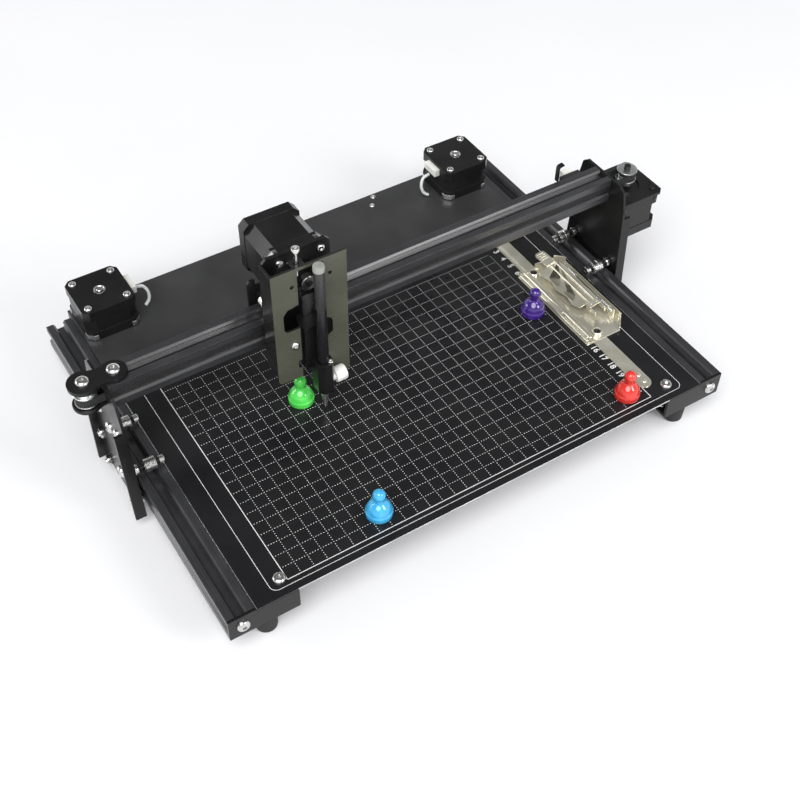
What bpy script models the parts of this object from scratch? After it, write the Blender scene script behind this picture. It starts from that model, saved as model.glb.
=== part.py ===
"""Desktop pen plotter: a writing machine with a belt-driven gantry over a gridded steel platen.

Frame of the model: metres, +X along the cross beam to the right, +Y to the rear, +Z up.  The
origin is on the table under the middle of the whole machine's bounding box.  Lateral places are
written as an offset from the machine's middle plane, which lies at x = MIDDLE_X.
"""
import math

import bmesh
import bpy
from mathutils import Matrix, Vector

# ------------------------------------------------------------------------- driving dimensions
GAP = 0.0003                # clearance left between two pieces that touch
RUNNING = 0.0001            # radial clearance of a bore that turns on a shaft
SHEET = 0.002               # bent sheet steel of the brackets and plates

MIDDLE_X = -0.0112          # middle plane of the frame; the cross beam reaches further right
FRONT_Y = -0.158            # front face of the front brackets
REAR_Y = 0.158              # rear wall of the deck

PROFILE = 0.020             # 2020 slotted aluminium profile: rails and cross beam
RAIL_OFFSET = 0.195         # middle plane to a rail's centre line
RAIL_FRONT = FRONT_Y + SHEET + GAP
RAIL_REAR = 0.150
FOOT_HEIGHT = 0.020
RAIL_BOTTOM = FOOT_HEIGHT
RAIL_TOP = RAIL_BOTTOM + PROFILE
INNER_HALF = RAIL_OFFSET - PROFILE / 2 - 0.0004     # half width of what lies between the rails

PLATEN_SHEET = 0.0015
PLATEN_REAR = 0.0785
DECK_TOP = RAIL_TOP + 0.0005
DRIVE_OFFSET = 0.1617       # middle plane to the Y pulleys, idlers and motor shafts
DRIVE_REAR = 0.1365         # y of the Y motor shafts
DRIVE_FRONT = -0.145        # y of the Y idlers
FOOT_OFFSET = 0.175

MOTOR_SIZE = 0.0423         # NEMA 17
MOTOR_CHAMFER = 0.0042
STACK_CHAMFER = 0.0075
SHAFT_RADIUS = 0.0025
BOSS_RADIUS = 0.011
BOSS_HOLE = 0.0115
Y_MOTOR_LENGTH = 0.028
X_MOTOR_LENGTH = 0.033
Z_MOTOR_LENGTH = 0.044

BELT_WIDTH = 0.006
BELT_INNER = 0.0061         # inner and outer radius of a belt where it wraps a pulley
BELT_OUTER = 0.0074
TOOTH_RADIUS = 0.0058
FLANGE_RADIUS = 0.0080
Y_BELT_Z = 0.0285

BEAM_Y = 0.0025             # centre of the cross beam, and of the whole gantry, at rest
BEAM_Z = 0.109
BEAM_TOP = BEAM_Z + PROFILE / 2
BEAM_BOTTOM = BEAM_Z - PROFILE / 2
SIDE_FACE = 0.2073          # middle plane to the inner face of a gantry side plate
SIDE_BOTTOM = 0.009
SIDE_TOP = BEAM_TOP
ROLLER_RADIUS = 0.005
ROLLER_SPREAD = 0.02175     # rollers stand this far in front of and behind the beam's centre
STUD_RADIUS = 0.002
X_PULLEY = 0.2315           # middle plane to the X motor shaft, at the right
X_IDLER = -0.2197           # middle plane to the X idler, at the left

PEN_X = MIDDLE_X - 0.0646    # pen's axis; the carriage's widths are offsets from it
PEN_Y = -0.0358
CARRIAGE_LEFT = -0.0287
CARRIAGE_RIGHT = 0.0213
CARRIAGE_FRONT = -0.0125    # front face of the carriage plate
CARRIAGE_SHEET = 0.0025
LIFT_MOTOR_X = PEN_X - 0.0011
LIFT_MOTOR_Z = 0.155
FRONT_PLATE_Y = -0.0288     # front face of the slotted pen plate
FRONT_PLATE_TOP = 0.177
FRONT_PLATE_LEFT = -0.0315
FRONT_PLATE_RIGHT = 0.0247
SLOT_LEFT = -0.0124
SLOT_RIGHT = 0.0068
THUMB_SCREW_Z = 0.073
PINION_PITCH = 0.006

MAGNET_RADIUS = 0.0096
CLIP_WEST = 0.1365          # middle plane to the left wall of the paper clip
CLIP_EAST = 0.1765
CLIP_SOUTH = -0.0835
CLIP_NORTH = 0.0065
CLIP_PIVOT_X = 0.1715
CLIP_PIVOT_Z = 0.0500

QUARTER = math.pi / 2
FACING = {"XY": (0, 0, 0), "XZ": (QUARTER, 0, 0), "YZ": (QUARTER, 0, QUARTER)}
ALONG = {"Z": (0, 0, 0), "Y": (-QUARTER, 0, 0), "X": (0, QUARTER, 0)}

# ------------------------------------------------------------------------- scene and helpers
for old in list(bpy.data.objects):
    bpy.data.objects.remove(old, do_unlink=True)

parts = bpy.data.collections.new("pen_plotter")
cutters = bpy.data.collections.new("cutters")
bpy.context.scene.collection.children.link(parts)
bpy.context.scene.collection.children.link(cutters)


def material(name, colour, roughness, metallic=0.0):
    """One Principled material."""
    made = bpy.data.materials.new(name)
    made.use_nodes = True
    shader = made.node_tree.nodes["Principled BSDF"]
    shader.inputs["Base Color"].default_value = (*colour, 1.0)
    shader.inputs["Roughness"].default_value = roughness
    shader.inputs["Metallic"].default_value = metallic
    return made


ANODISED = material("black_anodised", (0.022, 0.022, 0.024), 0.38, 0.6)
BLACK_PAINT = material("black_powder_coat", (0.020, 0.020, 0.021), 0.45, 0.2)
GLOSS_SHEET = material("gloss_black_sheet", (0.015, 0.015, 0.016), 0.12, 0.0)
MOTOR_BLACK = material("motor_black", (0.018, 0.018, 0.020), 0.40, 0.5)
STEEL = material("bright_steel", (0.62, 0.62, 0.60), 0.25, 1.0)
NICKEL = material("nickel_plate", (0.72, 0.68, 0.58), 0.18, 1.0)
RUBBER = material("black_rubber", (0.020, 0.020, 0.021), 0.80)
BOARD_GREEN = material("circuit_board", (0.02, 0.12, 0.05), 0.50)
LEAD_WHITE = material("lead_sleeve", (0.72, 0.76, 0.76), 0.45)
PEN_BLACK = material("pen_barrel", (0.020, 0.020, 0.024), 0.35)
KNOB_WHITE = material("white_nylon", (0.85, 0.85, 0.82), 0.50)
MAGNET_COLOURS = {
    "purple": (0.10, 0.02, 0.30),
    "red": (0.80, 0.03, 0.02),
    "green": (0.05, 0.70, 0.06),
    "blue": (0.05, 0.45, 0.85),
}


def side_x(offset):
    """World x of an offset from the machine's middle plane."""
    return MIDDLE_X + offset


def pivot(name, place):
    """An empty on a joint's axis, which the pieces of one moving body hang from."""
    empty = bpy.data.objects.new(name, None)
    empty.location = place
    parts.objects.link(empty)
    return empty


def hang(piece, parent):
    """Parent a piece without moving it."""
    if parent is not None:
        piece.parent = parent
        piece.matrix_parent_inverse = Matrix.Translation(-Vector(parent.location))
    return piece


def finish(piece, colour, parent=None):
    """Material, collection and parent of a finished piece."""
    piece.data.materials.append(colour)
    parts.objects.link(piece)
    return hang(piece, parent)


def block(name, x, y, z):
    """A box between two limits on each axis, its origin at its centre."""
    mesh = bpy.data.meshes.new(name)
    shape = bmesh.new()
    bmesh.ops.create_cube(shape, size=1.0)
    bmesh.ops.scale(shape, vec=(x[1] - x[0], y[1] - y[0], z[1] - z[0]), verts=shape.verts)
    shape.to_mesh(mesh)
    shape.free()
    piece = bpy.data.objects.new(name, mesh)
    piece.location = ((x[0] + x[1]) / 2, (y[0] + y[1]) / 2, (z[0] + z[1]) / 2)
    return piece


def rod(name, radius, start, end, axis, at, sides=16):
    """A round bar along an axis, from start to end, at the two other coordinates."""
    mesh = bpy.data.meshes.new(name)
    shape = bmesh.new()
    bmesh.ops.create_cone(shape, cap_ends=True, segments=sides, radius1=radius, radius2=radius,
                          depth=end - start)
    shape.to_mesh(mesh)
    shape.free()
    piece = bpy.data.objects.new(name, mesh)
    middle = (start + end) / 2
    piece.location = {"X": (middle, *at), "Y": (at[0], middle, at[1]), "Z": (*at, middle)}[axis]
    piece.rotation_euler = ALONG[axis]
    mesh.shade_smooth()
    mesh.set_sharp_from_angle(angle=math.radians(35))
    return piece


def sheet(name, facing, outlines, place, thickness):
    """A flat outline, with any holes as further outlines, given a thickness about its plane."""
    curve = bpy.data.curves.new(name, "CURVE")
    curve.dimensions = "2D"
    curve.fill_mode = "BOTH"
    curve.extrude = thickness / 2
    for outline in outlines:
        spline = curve.splines.new("POLY")
        spline.points.add(len(outline) - 1)
        spline.use_cyclic_u = True
        for point, (u, v) in zip(spline.points, outline):
            point.co = (u, v, 0, 1)
    piece = bpy.data.objects.new(name, curve)
    piece.location = place
    piece.rotation_euler = FACING[facing]
    return piece


def solid(piece):
    """The same piece as a welded mesh, for a piece that takes Booleans."""
    scratch = bpy.context.scene.collection
    scratch.objects.link(piece)
    bpy.context.view_layer.update()
    mesh = bpy.data.meshes.new_from_object(piece.evaluated_get(bpy.context.evaluated_depsgraph_get()))
    made = bpy.data.objects.new(piece.name + "_solid", mesh)
    made.matrix_world = piece.matrix_world.copy()
    name = piece.name
    bpy.data.objects.remove(piece, do_unlink=True)
    made.name = name
    shape = bmesh.new()
    shape.from_mesh(mesh)
    bmesh.ops.remove_doubles(shape, verts=shape.verts, dist=1e-6)
    bmesh.ops.recalc_face_normals(shape, faces=shape.faces)
    shape.to_mesh(mesh)
    shape.free()
    return made


def combine(piece, others, operation):
    """Boolean the others into a piece; they stay in the file as wire guides."""
    for other in others:
        cutters.objects.link(other)
        other.hide_render = True
        other.display_type = "WIRE"
        modifier = piece.modifiers.new(operation.lower(), "BOOLEAN")
        modifier.operation = operation
        modifier.solver = "EXACT"
        modifier.object = other
    return piece


def join(piece, *others):
    return combine(piece, others, "UNION")


def cut(piece, *others):
    return combine(piece, others, "DIFFERENCE")


def turned(name, profile, place, axis="Z", sides=24):
    """A turned piece from (radius, height) points, down its outer side; a ring's profile closes."""
    mesh = bpy.data.meshes.new(name)
    hollow = profile[0][0] > 0 and profile[-1][0] > 0
    points = [(radius, 0, height) for radius, height in profile]
    edges = [(index, index + 1) for index in range(len(points) - 1)]
    if hollow:
        edges.append((len(points) - 1, 0))
    mesh.from_pydata(points, edges, [])
    piece = bpy.data.objects.new(name, mesh)
    piece.location = place
    piece.rotation_euler = ALONG[axis]
    screw = piece.modifiers.new("turn", "SCREW")
    screw.angle = math.tau
    screw.steps = sides
    screw.render_steps = sides
    screw.use_merge_vertices = True
    screw.merge_threshold = 0.00001
    screw.use_smooth_shade = True
    return piece


def ring(name, bore, radius, length, place, axis, sides=20):
    """A plain bored roller, centred on its place."""
    half = length / 2
    edge = 0.0005
    profile = [(radius - edge, half), (radius, half - edge), (radius, edge - half),
               (radius - edge, -half), (bore, -half), (bore, half)]
    return turned(name, profile, place, axis, sides)


def arc(centre, radius, start, end, steps):
    """Points of an arc, in degrees, both ends included."""
    turn = [math.radians(start + (end - start) * index / steps) for index in range(steps + 1)]
    return [(centre[0] + radius * math.cos(a), centre[1] + radius * math.sin(a)) for a in turn]


def rectangle(u, v, corner=0.0):
    """A rectangle's outline, its corners cut by a small chamfer or left square."""
    if corner == 0.0:
        return [(u[0], v[0]), (u[1], v[0]), (u[1], v[1]), (u[0], v[1])]
    return [(u[0] + corner, v[0]), (u[1] - corner, v[0]), (u[1], v[0] + corner),
            (u[1], v[1] - corner), (u[1] - corner, v[1]), (u[0] + corner, v[1]),
            (u[0], v[1] - corner), (u[0], v[0] + corner)]


def slotted_profile():
    """Outline of the 20 mm profile: on each side a V mouth opens into a wider channel."""
    half = PROFILE / 2
    side = [(-half, half), (-0.0046, half), (-0.0031, half - 0.0018), (-0.0055, half - 0.0018),
            (-0.0055, half - 0.0032), (-0.0027, half - 0.0060), (0.0027, half - 0.0060),
            (0.0055, half - 0.0032), (0.0055, half - 0.0018), (0.0031, half - 0.0018),
            (0.0046, half)]
    outline = []
    for quarter in range(4):
        cosine, sine = round(math.cos(quarter * QUARTER)), round(math.sin(quarter * QUARTER))
        outline += [(u * cosine + v * sine, v * cosine - u * sine) for u, v in side]
    return outline


def profile_bar(name, facing, place, length):
    """A length of slotted profile with its centre bore."""
    bore = arc((0, 0), 0.0021, 0, 315, 7)
    return sheet(name, facing, [slotted_profile(), bore], place, length)


def racetrack(first, second, radius, steps=10):
    """Outline around two equal circles whose centres lie on one line along the first axis."""
    (u0, v0), (u1, v1) = first, second
    return arc((u0, v0), radius, 90, 270, steps) + arc((u1, v1), radius, -90, 90, steps)


def stepper(name, place, rotation, length, shaft_length):
    """NEMA 17 motor: rear cap, darker stack with bigger chamfers, flange, boss and shaft.

    The motor is made with its flange face at the origin and its shaft along +Z.
    """
    end = 0.008
    cap = (MOTOR_SIZE / 2, MOTOR_CHAMFER)
    stack = (MOTOR_SIZE / 2 - 0.0003, STACK_CHAMFER)
    levels = [(-length, *cap), (-length + end, *cap), (-length + end, *stack), (-end, *stack),
              (-end, *cap), (0.0, *cap)]
    shape = bmesh.new()
    loops = []
    for height, half, chamfer in levels:
        outline = rectangle((-half, half), (-half, half), chamfer)
        loops.append([shape.verts.new((u, v, height)) for u, v in outline])
    for lower, upper in zip(loops, loops[1:]):
        for index in range(8):
            after = (index + 1) % 8
            shape.faces.new((lower[index], lower[after], upper[after], upper[index]))
    shape.faces.new(list(reversed(loops[0])))
    shape.faces.new(loops[-1])
    bmesh.ops.remove_doubles(shape, verts=shape.verts, dist=1e-6)
    mesh = bpy.data.meshes.new(name)
    shape.to_mesh(mesh)
    shape.free()
    body = bpy.data.objects.new(name, mesh)
    body.location = place
    body.rotation_euler = rotation
    buried = -0.001
    spindle = turned(name + "_spindle", [(0.0, shaft_length), (SHAFT_RADIUS, shaft_length),
                                         (SHAFT_RADIUS, 0.002), (BOSS_RADIUS, 0.002),
                                         (BOSS_RADIUS, buried), (0.0, buried)], place)
    spindle.rotation_euler = rotation
    return join(body, spindle)


def toothed_pulley(name, place, axis, hub_up, hub_length):
    """Belt pulley with two flanges and a hub; the place is the middle of its toothed width."""
    half = 0.0035
    flange = 0.001
    bore = SHAFT_RADIUS + RUNNING
    outer = [(0.0065, half + flange + hub_length), (0.0065, half + flange),
             (FLANGE_RADIUS, half + flange), (FLANGE_RADIUS, half), (TOOTH_RADIUS, half),
             (TOOTH_RADIUS, -half), (FLANGE_RADIUS, -half), (FLANGE_RADIUS, -half - flange)]
    inner = [(bore, -half - flange), (bore, half + flange + hub_length)]
    if not hub_up:
        outer = [(radius, -height) for radius, height in reversed(outer)]
        inner = [(radius, -height) for radius, height in reversed(inner)]
    return turned(name, outer + inner, place, axis)


# ------------------------------------------------------------------------- frame
def rails():
    length = RAIL_REAR - RAIL_FRONT
    for name, side in (("left_rail", -1), ("right_rail", 1)):
        place = (side_x(side * RAIL_OFFSET), (RAIL_REAR + RAIL_FRONT) / 2, RAIL_BOTTOM + PROFILE / 2)
        finish(profile_bar(name, "XZ", place, length), ANODISED)


def front_brackets():
    """Channel across each rail's front end; its flanges carry the platen, the idler and a foot."""
    outer, inner, seat = 0.205, 0.154, INNER_HALF
    top = RAIL_TOP - PLATEN_SHEET - GAP
    web = FRONT_Y + SHEET
    channel = [(FRONT_Y, RAIL_BOTTOM), (web + 0.021, RAIL_BOTTOM), (web + 0.021, RAIL_BOTTOM + SHEET),
               (web, RAIL_BOTTOM + SHEET), (web, top - SHEET), (web + 0.024, top - SHEET),
               (web + 0.024, top), (FRONT_Y, top)]
    for name, side in (("front_bracket_left", -1), ("front_bracket_right", 1)):
        middle = side_x(side * (seat + inner) / 2)
        bracket = solid(sheet(name, "YZ", [channel], (middle, 0, 0), seat - inner))
        across = sorted((side_x(side * outer), side_x(side * (seat - 0.002))))
        tongue = block(name + "_tongue", across, (FRONT_Y, web), (RAIL_BOTTOM, top))
        cover = sorted((side_x(side * outer), side_x(side * (seat + GAP))))
        end_cover = block(name + "_end", cover, (FRONT_Y, web), (RAIL_BOTTOM + 0.005, RAIL_TOP))
        axle = rod(name + "_axle", SHAFT_RADIUS, RAIL_BOTTOM + 0.001, top - 0.001, "Z",
                   (side_x(side * DRIVE_OFFSET), DRIVE_FRONT), 24)
        finish(join(bracket, tongue, end_cover, axle), BLACK_PAINT)


def platen():
    across = (side_x(-INNER_HALF), side_x(INNER_HALF))
    plate = block("platen", across, (FRONT_Y, PLATEN_REAR), (RAIL_TOP - PLATEN_SHEET, RAIL_TOP))
    finish(plate, GLOSS_SHEET)


def rear_deck():
    """Bent cover behind the platen: front lip, top, rear wall, side walls and two foot tabs."""
    thick = 0.0015
    front = PLATEN_REAR + GAP + 0.0002
    lip_top = RAIL_TOP - PLATEN_SHEET - GAP
    fold = [(front - 0.009, lip_top - thick), (front + thick, lip_top - thick),
            (front + thick, DECK_TOP - thick), (REAR_Y - thick, DECK_TOP - thick),
            (REAR_Y - thick, RAIL_BOTTOM), (REAR_Y, RAIL_BOTTOM), (REAR_Y, DECK_TOP),
            (front, DECK_TOP), (front, lip_top), (front - 0.009, lip_top)]
    deck = solid(sheet("rear_deck", "YZ", [fold], (side_x(0), 0, 0), 2 * INNER_HALF))
    for side in (-1, 1):
        wall_x = sorted((side_x(side * INNER_HALF), side_x(side * (INNER_HALF - thick))))
        wall = block("deck_wall", wall_x, (front + 0.0005, REAR_Y - 0.0005),
                     (RAIL_BOTTOM, DECK_TOP - 0.0005))
        tab_x = sorted((side_x(side * (INNER_HALF - 0.0005)), side_x(side * 0.163)))
        tab = block("deck_foot_tab", tab_x, (0.128, REAR_Y - 0.0005), (RAIL_BOTTOM, RAIL_BOTTOM + thick))
        join(deck, wall, tab)
    for side in (-1, 1):
        hole = rod("deck_motor_hole", BOSS_HOLE, 0.035, 0.045, "Z",
                   (side_x(side * DRIVE_OFFSET), DRIVE_REAR), 32)
        cut(deck, hole)
    finish(deck, BLACK_PAINT)


def controller_board():
    """Motor driver board hung on four standoffs under the deck."""
    under_deck = DECK_TOP - 0.0015 - GAP
    board_z = (0.0325, 0.0341)
    board = block("controller_board", (side_x(-0.055), side_x(0.055)), (0.088, 0.148), board_z)
    for across in (-0.050, 0.050):
        for along in (0.093, 0.143):
            join(board, rod("standoff", 0.003, board_z[0] + 0.0005, under_deck, "Z",
                            (side_x(across), along), 12))
    for index in range(4):
        left = -0.042 + index * 0.022
        join(board, block("driver", (side_x(left), side_x(left + 0.014)), (0.110, 0.124),
                          (0.0265, board_z[0] + 0.0004)))
    finish(board, BOARD_GREEN)


def feet():
    """Tapered rubber feet under the front brackets and under the deck's tabs."""
    top = FOOT_HEIGHT - GAP
    profile = [(0.0, top), (0.0085, top), (0.0076, 0.001), (0.0068, 0.0), (0.0, 0.0)]
    for row, y in (("front", -0.147), ("rear", 0.142)):
        for name, side in (("left", -1), ("right", 1)):
            place = (side_x(side * FOOT_OFFSET), y, 0)
            finish(turned(f"foot_{row}_{name}", profile, place, sides=24), RUBBER)


def y_drive():
    """On each side a motor stands on the deck, and its belt runs forward inside the rail."""
    for name, side in (("left", -1), ("right", 1)):
        x = side_x(side * DRIVE_OFFSET)
        place = (x, DRIVE_REAR, DECK_TOP + GAP)
        finish(stepper(f"y_motor_{name}", place, (math.pi, 0, 0), Y_MOTOR_LENGTH, 0.0165), MOTOR_BLACK)
        pulley = toothed_pulley(f"y_pulley_{name}", (x, DRIVE_REAR, Y_BELT_Z), "Z", True, 0.0045)
        finish(pulley, STEEL)
        idler = toothed_pulley(f"y_idler_{name}", (x, DRIVE_FRONT, Y_BELT_Z), "Z", True, 0.0010)
        finish(idler, STEEL)
        span = ((DRIVE_FRONT, -x), (DRIVE_REAR, -x))
        loops = [racetrack(*span, BELT_OUTER), racetrack(*span, BELT_INNER)]
        belt = sheet(f"y_belt_{name}", "XY", loops, (0, 0, Y_BELT_Z), BELT_WIDTH)
        belt.rotation_euler = (0, 0, QUARTER)
        finish(belt, RUBBER)


def motor_leads():
    """Short sleeved lead from each Y motor's socket, down in one bow into the deck."""
    for name, side in (("left", -1), ("right", 1)):
        face = DRIVE_OFFSET - MOTOR_SIZE / 2 - 0.0052
        knots = [(face, 0.1365, 0.0585), (face - 0.0065, 0.1355, 0.0575), (face - 0.0095, 0.1335, 0.0520),
                 (face - 0.0085, 0.1315, 0.0460), (face - 0.0045, 0.1300, 0.0428)]
        curve = bpy.data.curves.new(f"y_motor_lead_{name}", "CURVE")
        curve.dimensions = "3D"
        curve.bevel_depth = 0.0013
        curve.bevel_resolution = 2
        curve.use_fill_caps = True
        points = smooth_route(knots, 4)
        spline = curve.splines.new("POLY")
        spline.points.add(len(points) - 1)
        for point, (offset, y, z) in zip(spline.points, points):
            point.co = (side_x(side * offset), y, z, 1)
        finish(bpy.data.objects.new(f"y_motor_lead_{name}", curve), LEAD_WHITE)


def smooth_route(knots, steps):
    """Points of a Catmull-Rom curve through the knots."""
    ends = [Vector(knots[0])] + [Vector(knot) for knot in knots] + [Vector(knots[-1])]
    points = []
    for index in range(1, len(ends) - 2):
        a, b, c, d = ends[index - 1:index + 3]
        for step in range(steps):
            t = step / steps
            points.append(0.5 * (2 * b + (c - a) * t + (2 * a - 5 * b + 4 * c - d) * t ** 2
                                 + (3 * b - a - 3 * c + d) * t ** 3))
    return points + [ends[-1]]


# ------------------------------------------------------------------------- gantry
def side_plates(body):
    """Folded plate outside each rail: two outward flanges, and studs that carry the rollers."""
    foot_half, shoulder_half, top_half = 0.034, 0.0286, 0.024
    shoulder = 0.098
    flange_top = 0.092
    flange_half = foot_half - (foot_half - shoulder_half) * (flange_top - SIDE_BOTTOM) / (
        shoulder - SIDE_BOTTOM)
    rounding = 0.004
    right_half = [(foot_half, SIDE_BOTTOM), (shoulder_half, shoulder),
                  (top_half + 0.001, SIDE_TOP - rounding), (top_half - rounding, SIDE_TOP)]
    outline = right_half + [(-u, v) for u, v in reversed(right_half)]
    for name, side in (("left", -1), ("right", 1)):
        web_x = side_x(side * (SIDE_FACE + SHEET / 2))
        web = solid(sheet(f"side_plate_{name}", "YZ", [outline], (web_x, BEAM_Y, 0), SHEET))
        for end in (-1, 1):
            strip = [(end * foot_half, SIDE_BOTTOM), (end * flange_half, flange_top),
                     (end * (flange_half - SHEET), flange_top), (end * (foot_half - SHEET), SIDE_BOTTOM)]
            flange_x = side_x(side * (SIDE_FACE + 0.004))
            join(web, solid(sheet("side_flange", "YZ", [strip], (flange_x, BEAM_Y, 0), 0.008)))
        for level in (RAIL_TOP + GAP + ROLLER_RADIUS, RAIL_BOTTOM - GAP - ROLLER_RADIUS):
            for end in (-1, 1):
                reach = sorted((side_x(side * 0.1875), side_x(side * (SIDE_FACE + 0.001))))
                join(web, rod("roller_stud", STUD_RADIUS, *reach, "X",
                              (BEAM_Y + end * ROLLER_SPREAD, level)))
        through = sorted((side_x(side * (SIDE_FACE - 0.003)), side_x(side * (SIDE_FACE + 0.005))))
        cut(web, block("belt_window", through, (BEAM_Y - 0.009, BEAM_Y + 0.009),
                       (BEAM_Z - 0.0045, BEAM_Z + 0.0045)))
        finish(web, BLACK_PAINT, body)


def gantry_rollers(body):
    """Ball-bearing rollers on top of each rail and under it."""
    for name, side in (("left", -1), ("right", 1)):
        for row, end in (("front", -1), ("rear", 1)):
            for level, z in (("upper", RAIL_TOP + GAP + ROLLER_RADIUS),
                             ("lower", RAIL_BOTTOM - GAP - ROLLER_RADIUS)):
                place = (side_x(side * 0.1943), BEAM_Y + end * ROLLER_SPREAD, z)
                roller = ring(f"roller_{level}_{row}_{name}", STUD_RADIUS + RUNNING, ROLLER_RADIUS,
                              0.0085, place, "X")
                finish(roller, STEEL, body)


def belt_clamps(body):
    """Arm from each side plate under the rail, with a jaw that grips the Y belt's outer run."""
    low, high = 0.0140, 0.0170
    jaw_top = Y_BELT_Z + BELT_WIDTH / 2 + GAP + 0.0022
    run_outer = DRIVE_OFFSET + BELT_OUTER + GAP
    run_inner = DRIVE_OFFSET + BELT_INNER - GAP
    outline = [(SIDE_FACE - GAP, low), (SIDE_FACE - GAP, high), (run_outer + 0.003, high),
               (run_outer + 0.003, jaw_top), (run_inner - 0.003, jaw_top),
               (run_inner - 0.003, Y_BELT_Z - 0.002), (run_inner, Y_BELT_Z - 0.002),
               (run_inner, jaw_top - 0.0022), (run_outer, jaw_top - 0.0022), (run_outer, low)]
    for name, side in (("left", -1), ("right", 1)):
        mirrored = [(side * u, v) for u, v in outline]
        arm = sheet(f"belt_clamp_{name}", "XZ", [mirrored], (side_x(0), BEAM_Y, 0), 0.014)
        finish(arm, BLACK_PAINT, body)


def cross_beam(body):
    place = (side_x(0), BEAM_Y, BEAM_Z)
    finish(profile_bar("x_beam", "YZ", place, 2 * (SIDE_FACE - GAP)), ANODISED, body)


def x_drive(body):
    """Motor and pulley outside the right side plate, idler outside the left one, and the belt."""
    x = side_x(X_PULLEY)
    plate_z = (0.096, 0.0985)
    plate = solid(sheet("x_motor_plate", "XY", [rectangle((side_x(SIDE_FACE + SHEET + GAP), x + 0.0214),
                                                         (BEAM_Y - 0.0222, BEAM_Y + 0.0222), 0.003)],
                        (0, 0, sum(plate_z) / 2), plate_z[1] - plate_z[0]))
    cut(plate, rod("x_boss_hole", BOSS_HOLE, 0.090, 0.105, "Z", (x, BEAM_Y), 32))
    finish(plate, BLACK_PAINT, body)
    motor = stepper("x_motor", (x, BEAM_Y, plate_z[0] - GAP), (0, 0, 0), X_MOTOR_LENGTH, 0.021)
    finish(motor, MOTOR_BLACK, body)
    finish(toothed_pulley("x_pulley", (x, BEAM_Y, BEAM_Z), "Z", False, 0.0040), STEEL, body)

    post_x = side_x(X_IDLER)
    thick = 0.003
    inner_x = side_x(-0.1983)
    waist = 0.0070
    level = BEAM_TOP + GAP + thick / 2
    outline = arc((post_x, BEAM_Y), 0.0105, 50, 310, 18)
    outline += [((post_x + inner_x) / 2, BEAM_Y - waist)]
    outline += arc((inner_x, BEAM_Y), 0.0092, -125, 125, 16)
    outline += [((post_x + inner_x) / 2, BEAM_Y + waist)]
    bracket = solid(sheet("idler_bracket", "XY", [outline], (0, 0, level), thick))
    axle = rod("idler_axle", SHAFT_RADIUS, BEAM_Z - 0.0055, level, "Z", (post_x, BEAM_Y), 24)
    finish(join(bracket, axle), BLACK_PAINT, body)
    finish(toothed_pulley("x_idler", (post_x, BEAM_Y, BEAM_Z), "Z", True, 0.0052), STEEL, body)

    span = ((post_x, BEAM_Y), (x, BEAM_Y))
    loops = [racetrack(*span, BELT_OUTER), racetrack(*span, BELT_INNER)]
    finish(sheet("x_belt", "XY", loops, (0, 0, BEAM_Z), BELT_WIDTH), RUBBER, body)


# ------------------------------------------------------------------------- pen carriage
def carriage_plates(body):
    """Front plate with the belt lug, and rear plate with the studs of the three rollers."""
    back = CARRIAGE_FRONT + CARRIAGE_SHEET
    outline = rectangle((CARRIAGE_LEFT, CARRIAGE_RIGHT), (0.083, 0.178), 0.003)
    middle = (PEN_X, (CARRIAGE_FRONT + back) / 2, 0)
    front = solid(sheet("carriage_plate", "XZ", [outline], middle, CARRIAGE_SHEET))
    cut(front, rod("z_boss_hole", BOSS_HOLE, -0.020, -0.005, "Y", (LIFT_MOTOR_X, LIFT_MOTOR_Z), 32))
    lug = block("belt_lug", (PEN_X - 0.012, PEN_X + 0.008), (back - 0.001, -0.0053),
                (BEAM_Z - 0.002, BEAM_Z + 0.002))
    finish(join(front, lug), BLACK_PAINT, body)

    ear, ear_top, top = -0.0229, 0.138, 0.1325
    rear = [(CARRIAGE_LEFT, 0.088), (CARRIAGE_RIGHT, 0.088), (CARRIAGE_RIGHT, top), (ear, top),
            (ear, ear_top), (CARRIAGE_LEFT + 0.002, ear_top), (CARRIAGE_LEFT, ear_top - 0.002)]
    plate = solid(sheet("carriage_rear_plate", "XZ", [rear], (PEN_X, 0.016, 0), SHEET))
    for _, offset, level in carriage_roller_places():
        join(plate, rod("carriage_stud", STUD_RADIUS, back + 0.0004, 0.016, "Y", (PEN_X + offset, level)))
    finish(plate, BLACK_PAINT, body)


def carriage_roller_places():
    """Name, sideways offset and height of each roller on the cross beam."""
    middle, spread = (CARRIAGE_LEFT + CARRIAGE_RIGHT) / 2, 0.0165
    above = BEAM_TOP + GAP + ROLLER_RADIUS
    below = BEAM_BOTTOM - GAP - ROLLER_RADIUS
    return [("top_left", middle - spread, above), ("top_right", middle + spread, above),
            ("bottom", middle, below)]


def carriage_rollers(body):
    for name, offset, level in carriage_roller_places():
        place = (PEN_X + offset, BEAM_Y, level)
        roller = ring(f"carriage_roller_{name}", STUD_RADIUS + RUNNING, ROLLER_RADIUS, 0.012, place, "Y")
        finish(roller, STEEL, body)


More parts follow.
